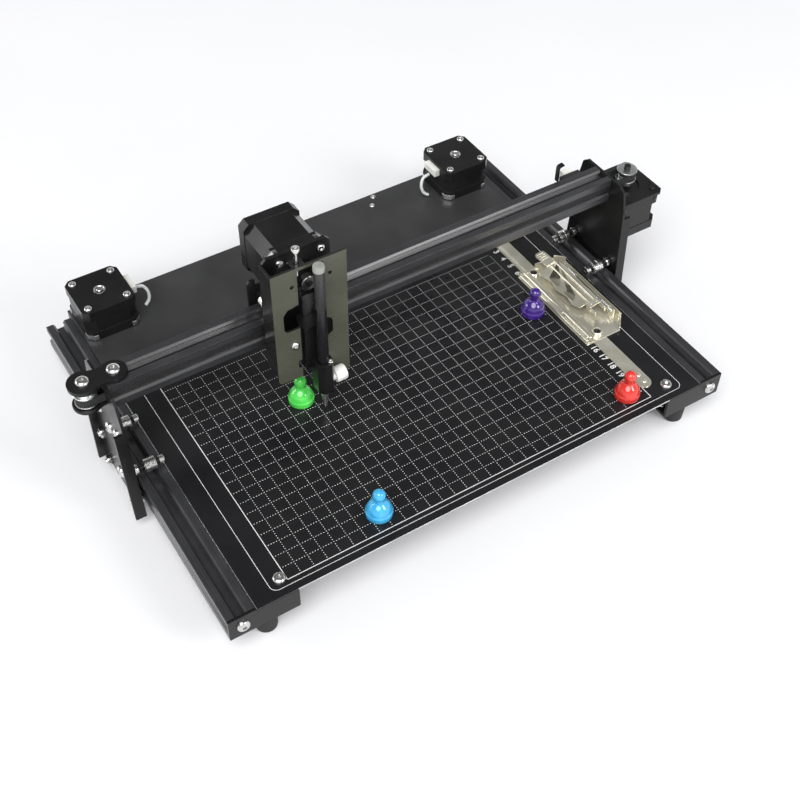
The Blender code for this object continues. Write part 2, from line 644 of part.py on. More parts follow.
def pen_front_plate(body):
    """Slotted front plate, folded back at its left to the carriage plate, with a tab for the screw."""
    left, right = FRONT_PLATE_LEFT, FRONT_PLATE_RIGHT
    left_wing, right_wing, slot_top = 0.0775, 0.0650, 0.1745
    outline = arc((left + 0.004, left_wing + 0.004), 0.004, 180, 270, 4)
    outline += [(SLOT_LEFT, left_wing), (SLOT_LEFT, 0.086), (SLOT_LEFT - 0.0030, 0.087),
                (SLOT_LEFT - 0.0030, 0.093), (SLOT_LEFT, 0.094), (SLOT_LEFT, 0.124),
                (SLOT_LEFT - 0.0095, 0.124), (SLOT_LEFT - 0.0118, 0.127), (SLOT_LEFT - 0.0118, 0.140),
                (SLOT_LEFT - 0.0085, 0.144), (SLOT_LEFT, 0.1455), (SLOT_LEFT, slot_top),
                (SLOT_RIGHT, slot_top), (SLOT_RIGHT, 0.124), (SLOT_RIGHT + 0.0045, 0.122),
                (SLOT_RIGHT + 0.0055, 0.119), (SLOT_RIGHT + 0.0055, 0.109), (SLOT_RIGHT, 0.106),
                (SLOT_RIGHT, right_wing), (right - 0.002, right_wing), (right, right_wing + 0.002),
                (right, FRONT_PLATE_TOP), (left, FRONT_PLATE_TOP)]
    front = solid(sheet("pen_front_plate", "XZ", [outline], (PEN_X, FRONT_PLATE_Y + SHEET / 2, 0), SHEET))
    back = CARRIAGE_FRONT - GAP
    screw_x, screw_y = height_screw_place()
    folds = [block("screw_tab", (screw_x - 0.0045, screw_x + 0.0045), (FRONT_PLATE_Y + 0.001, screw_y + 0.0040),
                   (FRONT_PLATE_TOP - SHEET, FRONT_PLATE_TOP))]
    folds.append(block("side_fold", (PEN_X + left, PEN_X + left + SHEET), (FRONT_PLATE_Y + 0.001, back),
                       (0.087, FRONT_PLATE_TOP - 0.001)))
    join(front, *folds)
    cut(front, rod("height_screw_hole", 0.0019, 0.170, 0.180, "Z", height_screw_place()))
    for offset in (-0.0164, 0.0117):
        cut(front, rod("front_hole", 0.0015, FRONT_PLATE_Y - 0.003, FRONT_PLATE_Y + 0.004, "Y",
                       (PEN_X + offset, 0.1625), 12))
    finish(front, GLOSS_SHEET, body)


def height_screw_place():
    return (PEN_X - 0.0098, -0.0240)


def height_screw(body):
    """Long socket screw through the top fold."""
    x, y = height_screw_place()
    profile = [(0.0, 0.190), (0.00275, 0.190), (0.00275, 0.187), (0.0015, 0.187), (0.0015, 0.166),
               (0.0, 0.166)]
    finish(turned("height_screw", profile, (x, y, 0), sides=16), STEEL, body)


def lift_motor(body):
    place = (LIFT_MOTOR_X, CARRIAGE_FRONT + CARRIAGE_SHEET + GAP, LIFT_MOTOR_Z)
    motor = stepper("z_motor", place, (QUARTER, 0, 0), Z_MOTOR_LENGTH, 0.0145)
    finish(motor, MOTOR_BLACK, body)
    pinion = ring("lift_pinion", SHAFT_RADIUS + RUNNING, PINION_PITCH - 0.0001, 0.0052,
                  (LIFT_MOTOR_X, -0.0213, LIFT_MOTOR_Z), "Y", 24)
    finish(pinion, STEEL, body)


def lift_rail(body):
    """Small vertical guide rail on the carriage plate, waisted where the slider grips it."""
    back = CARRIAGE_FRONT - GAP
    outline = [(-0.0045, back), (-0.0045, back - 0.0020), (-0.0037, back - 0.0028),
               (-0.0045, back - 0.0036), (-0.0045, back - 0.0052), (0.0045, back - 0.0052),
               (0.0045, back - 0.0036), (0.0037, back - 0.0028), (0.0045, back - 0.0020), (0.0045, back)]
    finish(sheet("lift_rail", "XY", [outline], (PEN_X, 0, 0.114), 0.052), STEEL, body)


# ------------------------------------------------------------------------- pen lift
def pen_slider(body):
    """Slider on the guide rail: a neck through the slot, and a rack strip beside the pinion."""
    rail_front = CARRIAGE_FRONT - GAP - 0.0052
    inner, outer, legs = 0.0048, 0.0084, rail_front + 0.0044
    neck = (SLOT_LEFT + 0.0024, SLOT_RIGHT - 0.0008)
    shoulder, neck_front = FRONT_PLATE_Y + SHEET + 0.0006, FRONT_PLATE_Y - 0.0014
    outline = [(-outer, legs), (-outer - 0.0030, shoulder + 0.0008), (neck[0], shoulder), (neck[0], neck_front),
               (neck[1], neck_front), (neck[1], shoulder), (outer, shoulder + 0.0008), (outer, legs),
               (inner, legs), (inner, rail_front - GAP), (-inner, rail_front - GAP), (-inner, legs)]
    slider = solid(sheet("pen_slider", "XY", [outline], (PEN_X, 0, 0.103), 0.038))
    rack_x = LIFT_MOTOR_X + PINION_PITCH + GAP
    rack = block("rack", (rack_x, rack_x + 0.0037), (-0.0240, -0.0188), (0.121, 0.163))
    finish(join(slider, rack), BLACK_PAINT, body)


def pen_clamp(body):
    """Bored block on the slider's neck that grips the pen."""
    low, high = 0.065, 0.0925
    half, nose = 0.0062, PEN_Y - 0.0068
    back = FRONT_PLATE_Y - 0.0014 - GAP
    outline = [(-half, back), (-half, nose + 0.0040), (-half + 0.0030, nose), (half - 0.0030, nose),
               (half, nose + 0.0040), (half, back)]
    bore = arc((0.0, PEN_Y), 0.0045, 0, 345, 23)
    clamp = solid(sheet("pen_clamp", "XY", [outline, bore], (PEN_X, 0, (low + high) / 2), high - low))
    cut(clamp, rod("thumb_screw_hole", 0.0022, PEN_X + 0.001, PEN_X + 0.012, "X",
                   (PEN_Y, THUMB_SCREW_Z), 16))
    finish(clamp, BLACK_PAINT, body)


def pen(body):
    """Turned pen: cap, barrel, grip, cone and point."""
    profile = [(0.0, 0.1800), (0.0030, 0.1800), (0.0040, 0.1792), (0.0041, 0.1755), (0.0037, 0.1750),
               (0.0038, 0.1400), (0.0041, 0.1080), (0.0041, 0.0645), (0.0038, 0.0620), (0.0033, 0.0614),
               (0.0009, 0.0460), (0.0004, 0.0430), (0.0, 0.0430)]
    finish(turned("pen", profile, (PEN_X, PEN_Y, 0), sides=20), PEN_BLACK, body)


def thumb_screw(body):
    """Knurled nylon screw that presses the pen from the right."""
    profile = [(0.0, 0.0190), (0.0050, 0.0190), (0.0058, 0.0182), (0.0058, 0.0118), (0.0050, 0.0110),
               (0.0030, 0.0110), (0.0030, 0.0068), (0.0018, 0.0068), (0.0018, 0.0047), (0.0, 0.0047)]
    finish(turned("thumb_screw", profile, (PEN_X, PEN_Y, THUMB_SCREW_Z), "X", 20), KNOB_WHITE, body)


# ------------------------------------------------------------------------- work holding
def paper_clip():
    """Lever clip on the right of the platen: a long strip, a channel body and a sprung lever."""
    low = RAIL_TOP + GAP
    thick = 0.0010
    strip_half = 0.006
    strip_x = side_x(0.1488)
    outline = arc((strip_x, -0.1345), strip_half, 180, 360, 12) + [(strip_x + strip_half, 0.0465),
                                                                 (strip_x - strip_half, 0.0465)]
    strip = solid(sheet("clip_base", "XY", [outline], (0, 0, low + thick / 2), thick))
    body = [(CLIP_WEST, low), (CLIP_EAST, low), (CLIP_EAST, low + 0.0115), (CLIP_EAST - thick, low + 0.0115),
            (CLIP_EAST - thick, low + 0.0018), (CLIP_WEST + thick, low + 0.0018),
            (CLIP_WEST + thick, low + 0.0060), (CLIP_WEST, low + 0.0060)]
    length = CLIP_NORTH - CLIP_SOUTH
    channel = solid(sheet("clip_channel", "XZ", [body], (side_x(0), (CLIP_NORTH + CLIP_SOUTH) / 2, 0), length))
    finish(join(strip, channel), NICKEL)

    arm = CLIP_PIVOT_X - CLIP_WEST - 0.0030
    outline = [(0.0, 0.0016), (-0.010, 0.0016), (-arm, -0.0055), (-arm, -0.0066), (-0.010, 0.0004),
               (-0.0006, 0.0004), (-0.0006, -0.0016), (0.0016, -0.0016), (0.0016, 0.0016)]
    place = (side_x(CLIP_PIVOT_X), (CLIP_NORTH + CLIP_SOUTH) / 2, CLIP_PIVOT_Z)
    lever = solid(sheet("clip_lever", "XZ", [outline], place, length - 0.016))
    tab = block("thumb_tab", (place[0] - 0.0100, place[0] + 0.0010), (place[1] + length / 2 - 0.0100,
                CLIP_NORTH + 0.0150), (CLIP_PIVOT_Z + 0.0004, CLIP_PIVOT_Z + 0.0016))
    finish(join(lever, tab), NICKEL)


def magnets():
    """Push-pin magnets: a ball head on a short neck over a domed foot."""
    places = {"purple": (0.1234, -0.0315), "red": (0.1302, -0.1380),
              "green": (-0.0748, -0.0179), "blue": (-0.0800, -0.1346)}
    ball = 0.0046
    head = [(0.0, 0.0243)] + arc((0.0, 0.0243 - ball), ball, 65, -35, 5)
    dome = [(0.0034, 0.0152), (0.0036, 0.0134), (0.0064, 0.0118), (0.0084, 0.0090),
            (MAGNET_RADIUS, 0.0050), (MAGNET_RADIUS, 0.0006), (0.0090, 0.0), (0.0, 0.0)]
    for colour, (offset, y) in places.items():
        finish_colour = material(f"magnet_{colour}", MAGNET_COLOURS[colour], 0.15)
        place = (side_x(offset), y, RAIL_TOP + GAP)
        finish(turned(f"magnet_{colour}", head + dome, place, sides=20), finish_colour)


# ------------------------------------------------------------------------- assembly
rails()
front_brackets()
platen()
rear_deck()
controller_board()
feet()
y_drive()
motor_leads()
gantry = pivot("gantry", (MIDDLE_X, BEAM_Y, BEAM_Z))
side_plates(gantry)
gantry_rollers(gantry)
belt_clamps(gantry)
cross_beam(gantry)
x_drive(gantry)
carriage = pivot("carriage", (PEN_X, BEAM_Y, BEAM_Z))
carriage_plates(carriage)
carriage_rollers(carriage)
pen_front_plate(carriage)
height_screw(carriage)
lift_motor(carriage)
lift_rail(carriage)
pen_lift = pivot("pen_lift", (PEN_X, PEN_Y, LIFT_MOTOR_Z))
pen_slider(pen_lift)
pen_clamp(pen_lift)
pen(pen_lift)
thumb_screw(pen_lift)
paper_clip()
magnets()
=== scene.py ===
"""Looks of the desktop pen plotter: materials, fasteners, print and small parts around its CAD frame."""
import math

import bmesh
import bpy
from mathutils import Matrix, Vector


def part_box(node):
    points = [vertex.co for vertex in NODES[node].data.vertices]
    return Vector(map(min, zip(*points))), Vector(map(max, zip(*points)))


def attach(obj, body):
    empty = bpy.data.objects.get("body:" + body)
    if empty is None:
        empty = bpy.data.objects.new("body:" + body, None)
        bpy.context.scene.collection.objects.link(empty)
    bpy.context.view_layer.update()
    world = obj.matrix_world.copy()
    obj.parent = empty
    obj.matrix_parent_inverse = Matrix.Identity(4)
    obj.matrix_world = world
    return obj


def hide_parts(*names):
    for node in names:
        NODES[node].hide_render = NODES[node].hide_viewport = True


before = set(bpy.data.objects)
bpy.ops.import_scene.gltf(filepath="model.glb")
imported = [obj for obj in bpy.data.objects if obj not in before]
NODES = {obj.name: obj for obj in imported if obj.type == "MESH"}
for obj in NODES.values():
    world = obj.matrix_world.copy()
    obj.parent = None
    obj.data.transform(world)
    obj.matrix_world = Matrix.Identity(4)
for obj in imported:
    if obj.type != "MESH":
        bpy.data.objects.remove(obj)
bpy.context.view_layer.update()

X, Y, Z = Vector((1, 0, 0)), Vector((0, 1, 0)), Vector((0, 0, 1))
UPRIGHT = Matrix.Identity(4)
CM = 0.01
LIFTED = 0.00005            # height of printed ink over its sheet
MIDLINE = -0.0112           # the frame's middle plane, in X
DECK_SCREW_LEVEL = 0.0325
MOTOR_SCREWS = 0.0155       # half the spacing of a NEMA 17 motor's screws
MOTOR_WIDTH = 0.0423
MOTOR_HALF = 0.0213         # half the flange's width, coating included


def low(node):
    return Vector(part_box(node)[0])


def high(node):
    return Vector(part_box(node)[1])


def middle(node):
    return (low(node) + high(node)) / 2


# ------------------------------------------------------------------------- materials
class Shader:
    """A Principled material whose colour, roughness and bump come from textures."""

    def __init__(self, name, metallic=0.0, coat=0.0, ior=1.5):
        self.material = bpy.data.materials.new(name)
        self.material.use_nodes = True
        self.tree = self.material.node_tree
        self.bsdf = self.tree.nodes["Principled BSDF"]
        self.bsdf.inputs["Metallic"].default_value = metallic
        self.bsdf.inputs["Coat Weight"].default_value = coat
        self.bsdf.inputs["Coat Roughness"].default_value = 0.08
        self.bsdf.inputs["IOR"].default_value = ior
        self.place = self.add("ShaderNodeTexCoord").outputs["Object"]

    def add(self, kind, **values):
        node = self.tree.nodes.new(kind)
        for key, value in values.items():
            setattr(node, key, value)
        return node

    def link(self, output, target):
        self.tree.links.new(output, target)

    def stretched(self, stretch):
        """Object coordinates scaled by axis, for a texture drawn out along a length."""
        mapping = self.add("ShaderNodeMapping")
        mapping.inputs["Scale"].default_value = stretch
        self.link(self.place, mapping.inputs["Vector"])
        return mapping.outputs["Vector"]

    def noise(self, scale, detail=3.0, stretch=(1, 1, 1)):
        texture = self.add("ShaderNodeTexNoise")
        texture.inputs["Scale"].default_value = scale
        texture.inputs["Detail"].default_value = detail
        self.link(self.stretched(stretch), texture.inputs["Vector"])
        return texture.outputs["Fac"]

    def normal_part(self, axis):
        """One component of the surface's own direction, in the object's axes."""
        split = self.add("ShaderNodeSeparateXYZ")
        self.link(self.place.node.outputs["Normal"], split.inputs["Vector"])
        return split.outputs[axis]

    def between(self, factor, low_value, high_value, start=0.35, stop=0.65):
        """A number that runs between two values as the factor runs from start to stop."""
        spread = self.add("ShaderNodeMapRange")
        spread.inputs["From Min"].default_value = start
        spread.inputs["From Max"].default_value = stop
        spread.inputs["To Min"].default_value = low_value
        spread.inputs["To Max"].default_value = high_value
        self.link(factor, spread.inputs["Value"])
        return spread.outputs["Result"]

    def blend(self, factor, first, second):
        """A colour between two colours."""
        ramp = self.add("ShaderNodeValToRGB")
        ramp.color_ramp.elements[0].position = 0.3
        ramp.color_ramp.elements[0].color = (*first, 1)
        ramp.color_ramp.elements[1].position = 0.7
        ramp.color_ramp.elements[1].color = (*second, 1)
        self.link(factor, ramp.inputs["Fac"])
        return ramp.outputs["Color"]

    def colour(self, output):
        self.link(output, self.bsdf.inputs["Base Color"])

    def roughness(self, output):
        self.link(output, self.bsdf.inputs["Roughness"])

    def relief(self, height, distance, strength=1.0, edge=0.0):
        """Bump from a height, over edges rounded by a small radius."""
        bump = self.add("ShaderNodeBump")
        bump.inputs["Distance"].default_value = distance
        bump.inputs["Strength"].default_value = strength
        self.link(height, bump.inputs["Height"])
        if edge:
            rounded = self.add("ShaderNodeBevel", samples=4)
            rounded.inputs["Radius"].default_value = edge
            self.link(rounded.outputs["Normal"], bump.inputs["Normal"])
        self.link(bump.outputs["Normal"], self.bsdf.inputs["Normal"])


def anodised(name, direction):
    """Black anodised extrusion: satin, with faint draw lines along its length."""
    shader = Shader(name, ior=1.75)
    lines = tuple(6.0 if axis == direction else 900.0 for axis in range(3))
    drawn = shader.noise(1.0, 2.0, lines)
    cloud = shader.noise(45.0, 4.0)
    shader.colour(shader.blend(cloud, (0.016, 0.016, 0.018), (0.030, 0.030, 0.033)))
    shader.roughness(shader.between(drawn, 0.26, 0.42))
    shader.relief(drawn, 0.00002, 0.5, edge=0.0004)
    return shader.material


def coated(name, dark, light, rough, grain=0.00003, edge=0.0004, face=None, ior=1.5):
    """Powder coat or lacquer: fine orange peel, a little cloudy.

    A face colour, a painted reflection, shows only on what looks forward.
    """
    shader = Shader(name, ior=ior)
    peel = shader.noise(1600.0, 2.0)
    cloud = shader.noise(30.0, 5.0)
    # The face colours paint a reflection onto surfaces that look forward.
    if face:
        forward = shader.between(shader.normal_part("Y"), 0.0, 1.0, -0.8, -0.95)
        mix = shader.add("ShaderNodeMix", data_type="RGBA")
        shader.link(forward, mix.inputs[0])
        shader.link(shader.blend(cloud, dark, light), mix.inputs[6])
        shader.link(shader.blend(cloud, *face), mix.inputs[7])
        shader.colour(mix.outputs[2])
    else:
        shader.colour(shader.blend(cloud, dark, light))
    shader.roughness(shader.between(cloud, rough - 0.06, rough + 0.06))
    shader.relief(peel, grain, 0.6, edge=edge)
    return shader.material


def metal(name, dark, light, rough, stretch=(1, 1, 1), metallic=1.0):
    """Bare or plated metal with fine scratches."""
    shader = Shader(name, metallic=metallic)
    scratch = shader.noise(2200.0, 3.0, stretch)
    cloud = shader.noise(90.0, 4.0)
    shader.colour(shader.blend(cloud, dark, light))
    shader.roughness(shader.between(scratch, rough * 0.7, rough * 1.4))
    shader.relief(scratch, 0.000004, 0.3, edge=0.0002)
    return shader.material


def rubbery(name, dark, light, ribs=0.0, axis=0):
    """Rubber: matt and finely pitted; a belt also has teeth, a pitch apart along an axis."""
    shader = Shader(name)
    pits = shader.noise(1300.0, 3.0)
    cloud = shader.noise(60.0, 3.0)
    shader.colour(shader.blend(cloud, dark, light))
    shader.roughness(shader.between(cloud, 0.62, 0.82))
    height = pits
    if ribs:
        wave = shader.add("ShaderNodeTexWave", bands_direction="XYZ"[axis], wave_profile="SIN")
        wave.inputs["Scale"].default_value = math.tau / (20 * ribs)
        shader.link(shader.place, wave.inputs["Vector"])
        height = wave.outputs["Fac"]
    shader.relief(height, 0.00025 if ribs else 0.00006, 0.5, edge=0.0003)
    return shader.material


def plastic(name, dark, light, rough, clear=0.0, coat=0.3):
    """Moulded plastic, clear or solid."""
    shader = Shader(name, coat=coat, ior=1.49)
    cloud = shader.noise(120.0, 3.0)
    fine = shader.noise(2600.0, 2.0)
    shader.colour(shader.blend(cloud, dark, light))
    shader.roughness(shader.between(fine, rough * 0.8, rough * 1.3))
    shader.bsdf.inputs["Transmission Weight"].default_value = clear
    shader.relief(fine, 0.000002, 0.5, edge=0.0002)
    return shader.material


BLACK_X = anodised("anodised_black_x", 0)
BLACK_Y = anodised("anodised_black_y", 1)
POWDER = coated("powder_coat_black", (0.006, 0.006, 0.006), (0.012, 0.012, 0.012), 0.32, ior=1.36)
DECK = coated("deck_coat", (0.030, 0.030, 0.031), (0.042, 0.042, 0.043), 0.36, grain=0.00002)
PLATEN = coated("platen_sheet", (0.010, 0.010, 0.011), (0.014, 0.014, 0.015), 0.30, grain=0.00001, ior=1.36)
# Black lacquer; the olive face colours are a painted reflection on the plate's front.
LACQUER_AND_REFLECTION = coated("front_plate_lacquer_and_reflection", (0.012, 0.012, 0.011), (0.020, 0.020, 0.018), 0.26, grain=0.00001,
                 face=((0.066, 0.068, 0.048), (0.088, 0.090, 0.066)))
MOTOR = coated("motor_cap_black", (0.006, 0.006, 0.006), (0.012, 0.012, 0.012), 0.28, ior=1.38)
STEEL = metal("bright_steel", (0.58, 0.58, 0.56), (0.80, 0.80, 0.78), 0.20)
TURNED = metal("turned_aluminium", (0.66, 0.67, 0.67), (0.86, 0.86, 0.85), 0.28)
NICKEL = metal("nickel_plate", (0.70, 0.67, 0.54), (0.88, 0.85, 0.73), 0.17, stretch=(1, 0.15, 1),
               metallic=0.72)
# Near-black that paints the shade inside holes.
HOLE_SHADE = coated("hole_painted_shade", (0.004, 0.004, 0.004), (0.008, 0.008, 0.008), 0.6)
DARK_STEEL = metal("dark_steel", (0.16, 0.16, 0.16), (0.30, 0.30, 0.29), 0.30)
RUBBER = rubbery("foot_rubber", (0.012, 0.012, 0.012), (0.026, 0.026, 0.026))
BELT_PITCH = 0.002
BELT_X = rubbery("belt_rubber_x", (0.010, 0.010, 0.010), (0.022, 0.022, 0.022), BELT_PITCH, 0)
BELT_Y = rubbery("belt_rubber_y", (0.010, 0.010, 0.010), (0.022, 0.022, 0.022), BELT_PITCH, 1)
BOARD = plastic("board_mask", (0.010, 0.070, 0.030), (0.020, 0.110, 0.045), 0.30)
CHIP = plastic("chip_black", (0.012, 0.012, 0.012), (0.024, 0.024, 0.024), 0.45, coat=0.0)
SOCKET = plastic("socket_white", (0.74, 0.73, 0.68), (0.86, 0.85, 0.80), 0.35)
SLEEVE = plastic("lead_sleeve", (0.66, 0.70, 0.69), (0.84, 0.87, 0.86), 0.30, clear=0.15)
INK = plastic("print_white", (0.66, 0.66, 0.66), (0.84, 0.84, 0.84), 0.45, coat=0.0)
# Bright metal for thin strips that paint highlights along the platen's edges.
EDGE_HIGHLIGHT = metal("bare_edge_highlight", (0.62, 0.62, 0.62), (0.86, 0.86, 0.86), 0.25, stretch=(0.1, 1, 1))
PEN_CAP = plastic("pen_cap_grey", (0.26, 0.27, 0.25), (0.36, 0.37, 0.34), 0.30)
PEN_TUBE = plastic("pen_tube_grey", (0.030, 0.030, 0.029), (0.048, 0.048, 0.046), 0.28, coat=0.1)
PEN_DARK = plastic("pen_tube_dark", (0.005, 0.005, 0.006), (0.010, 0.010, 0.011), 0.24, coat=0.0)
KNOB = plastic("knob_white", (0.78, 0.78, 0.75), (0.90, 0.90, 0.87), 0.35)
MAGNETS = {
    "purple": plastic("magnet_purple", (0.030, 0.006, 0.150), (0.060, 0.014, 0.260), 0.10, 0.10, 0.8),
    "red": plastic("magnet_red", (0.640, 0.020, 0.012), (0.860, 0.045, 0.028), 0.10, 0.10, 0.8),
    "green": plastic("magnet_green", (0.050, 0.640, 0.060), (0.130, 0.900, 0.130), 0.12, 0.10, 0.8),
    "blue": plastic("magnet_blue", (0.030, 0.360, 0.720), (0.080, 0.560, 0.920), 0.10, 0.10, 0.8),
}


def dress(material, *nodes):
    """Give carried-over CAD nodes their material."""
    for node in nodes:
        mesh = NODES[node].data
        mesh.materials.clear()
        mesh.materials.append(material)


# ------------------------------------------------------------------------- mesh tools
def along(axis, origin, spin=0.0):
    """Matrix that carries local +Z to an axis at an origin."""
    turn = Vector(axis).to_track_quat("Z", "Y").to_matrix().to_4x4()
    return Matrix.Translation(origin) @ turn @ Matrix.Rotation(spin, 4, "Z")


def hex_ratio(angle):
    """Radius of a hexagon's side over its corner radius, at an angle."""
    return math.cos(math.pi / 6) / math.cos(angle % (math.pi / 3) - math.pi / 6)


def lathe(mesh, profile, place, sides=32, wave=None):
    """Turn (radius, height) points; a third value 'hex' makes that ring six-sided, 'wave' waves it."""
    rings = []
    for radius, height, *kind in profile:
        if radius == 0:
            rings.append([mesh.verts.new(place @ Vector((0, 0, height)))])
            continue
        ring = []
        for step in range(sides):
            angle = math.tau * step / sides
            reach = radius
            if kind == ["hex"]:
                reach *= hex_ratio(angle)
            if kind == ["wave"]:
                reach *= wave(angle)
            point = Vector((reach * math.cos(angle), reach * math.sin(angle), height))
            ring.append(mesh.verts.new(place @ point))
        rings.append(ring)
    for upper, lower in zip(rings, rings[1:]):
        for step in range(sides):
            after = (step + 1) % sides
            corners = [upper[step % len(upper)], lower[step % len(lower)],
                       lower[after % len(lower)], upper[after % len(upper)]]
            corners = list(dict.fromkeys(corners))
            if len(corners) > 2:
                mesh.faces.new(corners)


def closed_lathe(mesh, profile, place, sides=32):
    """A turned ring: its profile's last point joins its first."""
    lathe(mesh, profile + [profile[0]], place, sides)


def prism(mesh, outline, place, bottom, top, chamfer=0.0):
    """An outline in local X and Y carried from bottom to top, its rims chamfered."""
    centre = sum((Vector(point) for point in outline), Vector((0, 0))) / len(outline)
    levels = [(bottom, chamfer), (bottom + chamfer, 0), (top - chamfer, 0), (top, chamfer)]
    if chamfer == 0:
        levels = [(bottom, 0), (top, 0)]
    rings = []
    for height, inset in levels:
        ring = []
        for point in outline:
            offset = Vector(point) - centre
            scaled = centre + offset * max(0.0, 1 - inset / max(offset.length, 1e-6))
            ring.append(mesh.verts.new(place @ Vector((*scaled, height))))
        rings.append(ring)
    count = len(outline)
    for lower, upper in zip(rings, rings[1:]):
        for step in range(count):
            after = (step + 1) % count
            mesh.faces.new((lower[step], lower[after], upper[after], upper[step]))
    mesh.faces.new(list(reversed(rings[0])))
    mesh.faces.new(rings[-1])


def rectangle(left, front, right, rear):
    return [(left, front), (right, front), (right, rear), (left, rear)]


def box(mesh, corner, opposite, chamfer=0.0003):
    """An upright box between two corners."""
    outline = rectangle(corner[0], corner[1], opposite[0], opposite[1])
    prism(mesh, outline, UPRIGHT, corner[2], opposite[2], chamfer)


def arc(centre, radius, start, stop, steps):
    """Outline points from one angle to another, in degrees."""
    angles = [math.radians(start + (stop - start) * step / steps) for step in range(steps + 1)]
    return [(centre[0] + radius * math.cos(angle), centre[1] + radius * math.sin(angle)) for angle in angles]


def bar(mesh, start, stop, radius, sides=12):
    """A rod with turned-down ends between two points."""
    run = Vector(stop) - Vector(start)
    length = run.length
    lathe(mesh, [(0, length), (radius * 0.7, length), (radius, length - radius * 0.3), (radius, radius * 0.3),
                 (radius * 0.7, 0), (0, 0)], along(run, start), sides)


def tube(mesh, path, radius, sides):
    """A round wire along a path, closed at its ends."""
    rings = []
    for index, point in enumerate(path):
        before, after = path[max(index - 1, 0)], path[min(index + 1, len(path) - 1)]
        turn = (after - before).to_track_quat("Z", "Y").to_matrix()
        ring = []
        for step in range(sides):
            angle = math.tau * step / sides
            offset = Vector((radius * math.cos(angle), radius * math.sin(angle), 0))
            ring.append(mesh.verts.new(point + turn @ offset))
        rings.append(ring)
    for first, second in zip(rings, rings[1:]):
        best = min(range(sides), key=lambda shift: (second[shift].co - first[0].co).length)
        for step in range(sides):
            after = (step + 1) % sides
            mesh.faces.new((first[step], first[after],
                            second[(after + best) % sides], second[(step + best) % sides]))
    mesh.faces.new(list(reversed(rings[0])))
    mesh.faces.new(rings[-1])


def add_object(name, data):
    made = bpy.data.objects.new(name, data)
    bpy.context.scene.collection.objects.link(made)
    return made


def piece(name, mesh, material, body, smooth=40):
    """A finished mesh as an object that rides on a body."""
    bmesh.ops.remove_doubles(mesh, verts=mesh.verts, dist=1e-7)
    bmesh.ops.recalc_face_normals(mesh, faces=mesh.faces)
    data = bpy.data.meshes.new(name)
    mesh.to_mesh(data)
    mesh.free()
    data.materials.append(material)
    made = add_object(name, data)
    data.shade_smooth()
    data.set_sharp_from_angle(angle=math.radians(smooth))
    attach(made, body)
    return made


# ------------------------------------------------------------------------- fasteners
def button_screw(mesh, origin, axis, size):
    """Button-head socket screw seen from its head; size is the thread's diameter."""
    head, rise, socket = size * 0.95, size * 0.55, size * 0.36
    flat = socket * 1.15
    profile = [(0, rise * 0.35), (socket, rise * 0.35, "hex"), (socket, rise, "hex"), (flat, rise)]
    for step in range(1, 6):
        angle = math.radians(90 - step * 16)
        profile.append((flat + (head - flat) * math.cos(angle), rise * (0.15 + 0.85 * math.sin(angle))))
    profile += [(head, 0), (0, 0)]
    lathe(mesh, profile, along(axis, origin), 24)


def cap_screw(mesh, origin, axis, size):
    """Socket cap screw seen from its head."""
    head, rise, socket = size * 0.9, size, size * 0.48
    profile = [(0, rise * 0.45), (socket, rise * 0.45, "hex"), (socket, rise, "hex"), (head * 0.88, rise),
               (head, rise * 0.88, "wave"), (head, 0, "wave"), (0, 0)]
    lathe(mesh, profile, along(axis, origin), 48, lambda angle: 1 + 0.012 * math.cos(24 * angle))


def nut(mesh, origin, axis, size, rise=None):
    """Hexagon nut, its corners turned down, around a bolt end."""
    radius, rise = size * 1.02, rise or size * 0.8
    bolt = size * 0.5
    profile = [(0, rise * 1.35), (bolt * 0.85, rise * 1.35), (bolt, rise * 1.2), (bolt, rise),
               (radius * 0.88, rise), (radius, rise * 0.82, "hex"), (radius, rise * 0.12, "hex"),
               (radius * 0.88, 0), (0, 0)]
    lathe(mesh, profile, along(axis, origin), 24)


def frame_screws():
    """Screws of the fixed frame: rail ends, platen, deck and idler axles."""
    mesh = bmesh.new()
    for side in ("left", "right"):
        rail = middle(f"{side}_rail")
        bracket = low(f"front_bracket_{side}")
        button_screw(mesh, (rail.x, bracket.y, rail.z + 0.0005), -Y, 0.0050)
        idler = middle(f"y_idler_{side}")
        button_screw(mesh, (idler.x, idler.y, high("platen").z), Z, 0.0048)
        foot = middle(f"foot_rear_{side}")
        button_screw(mesh, (foot.x, high("rear_deck").y, DECK_SCREW_LEVEL), Y, 0.0035)
    deck = high("rear_deck")
    for place in ((0.0725, 0.1445), (0.0790, deck.y - 0.004)):
        button_screw(mesh, (*place, deck.z), Z, 0.0024)
    piece("frame_screws", mesh, STEEL, "base")


def gantry_screws():
    """Screws of the gantry: roller studs and their nuts, beam ends, side plates and idler bracket."""
    mesh = bmesh.new()
    for side, out in (("left", -1), ("right", 1)):
        web = middle(f"side_plate_{side}")
        inner = (high if out < 0 else low)(f"side_plate_{side}").x
        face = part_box("x_beam")[0 if out < 0 else 1][0] + out * 0.0023
        beam = middle("x_beam")
        for level in ("upper", "lower"):
            for row in ("front", "rear"):
                roller = middle(f"roller_{level}_{row}_{side}")
                cap_screw(mesh, (inner, roller.y, roller.z), -X * out, 0.0036)
                nut(mesh, (face, roller.y, roller.z), X * out, 0.0042)
                nut(mesh, (face - out * 0.0061, roller.y, roller.z), X * out, 0.0040, 0.0036)
        for offset in (-0.0145, 0.0145):
            button_screw(mesh, (face, beam.y + offset, beam.z - 0.030), X * out, 0.0042)
        for height in (0.024, 0.072):
            button_screw(mesh, (face, web.y, height), X * out, 0.0048)
    bracket = high("idler_bracket").z
    idler = middle("x_idler")
    for across in (idler.x, idler.x + 0.0214):
        button_screw(mesh, (across, idler.y, bracket), Z, 0.0050)
    piece("gantry_screws", mesh, STEEL, "gantry")


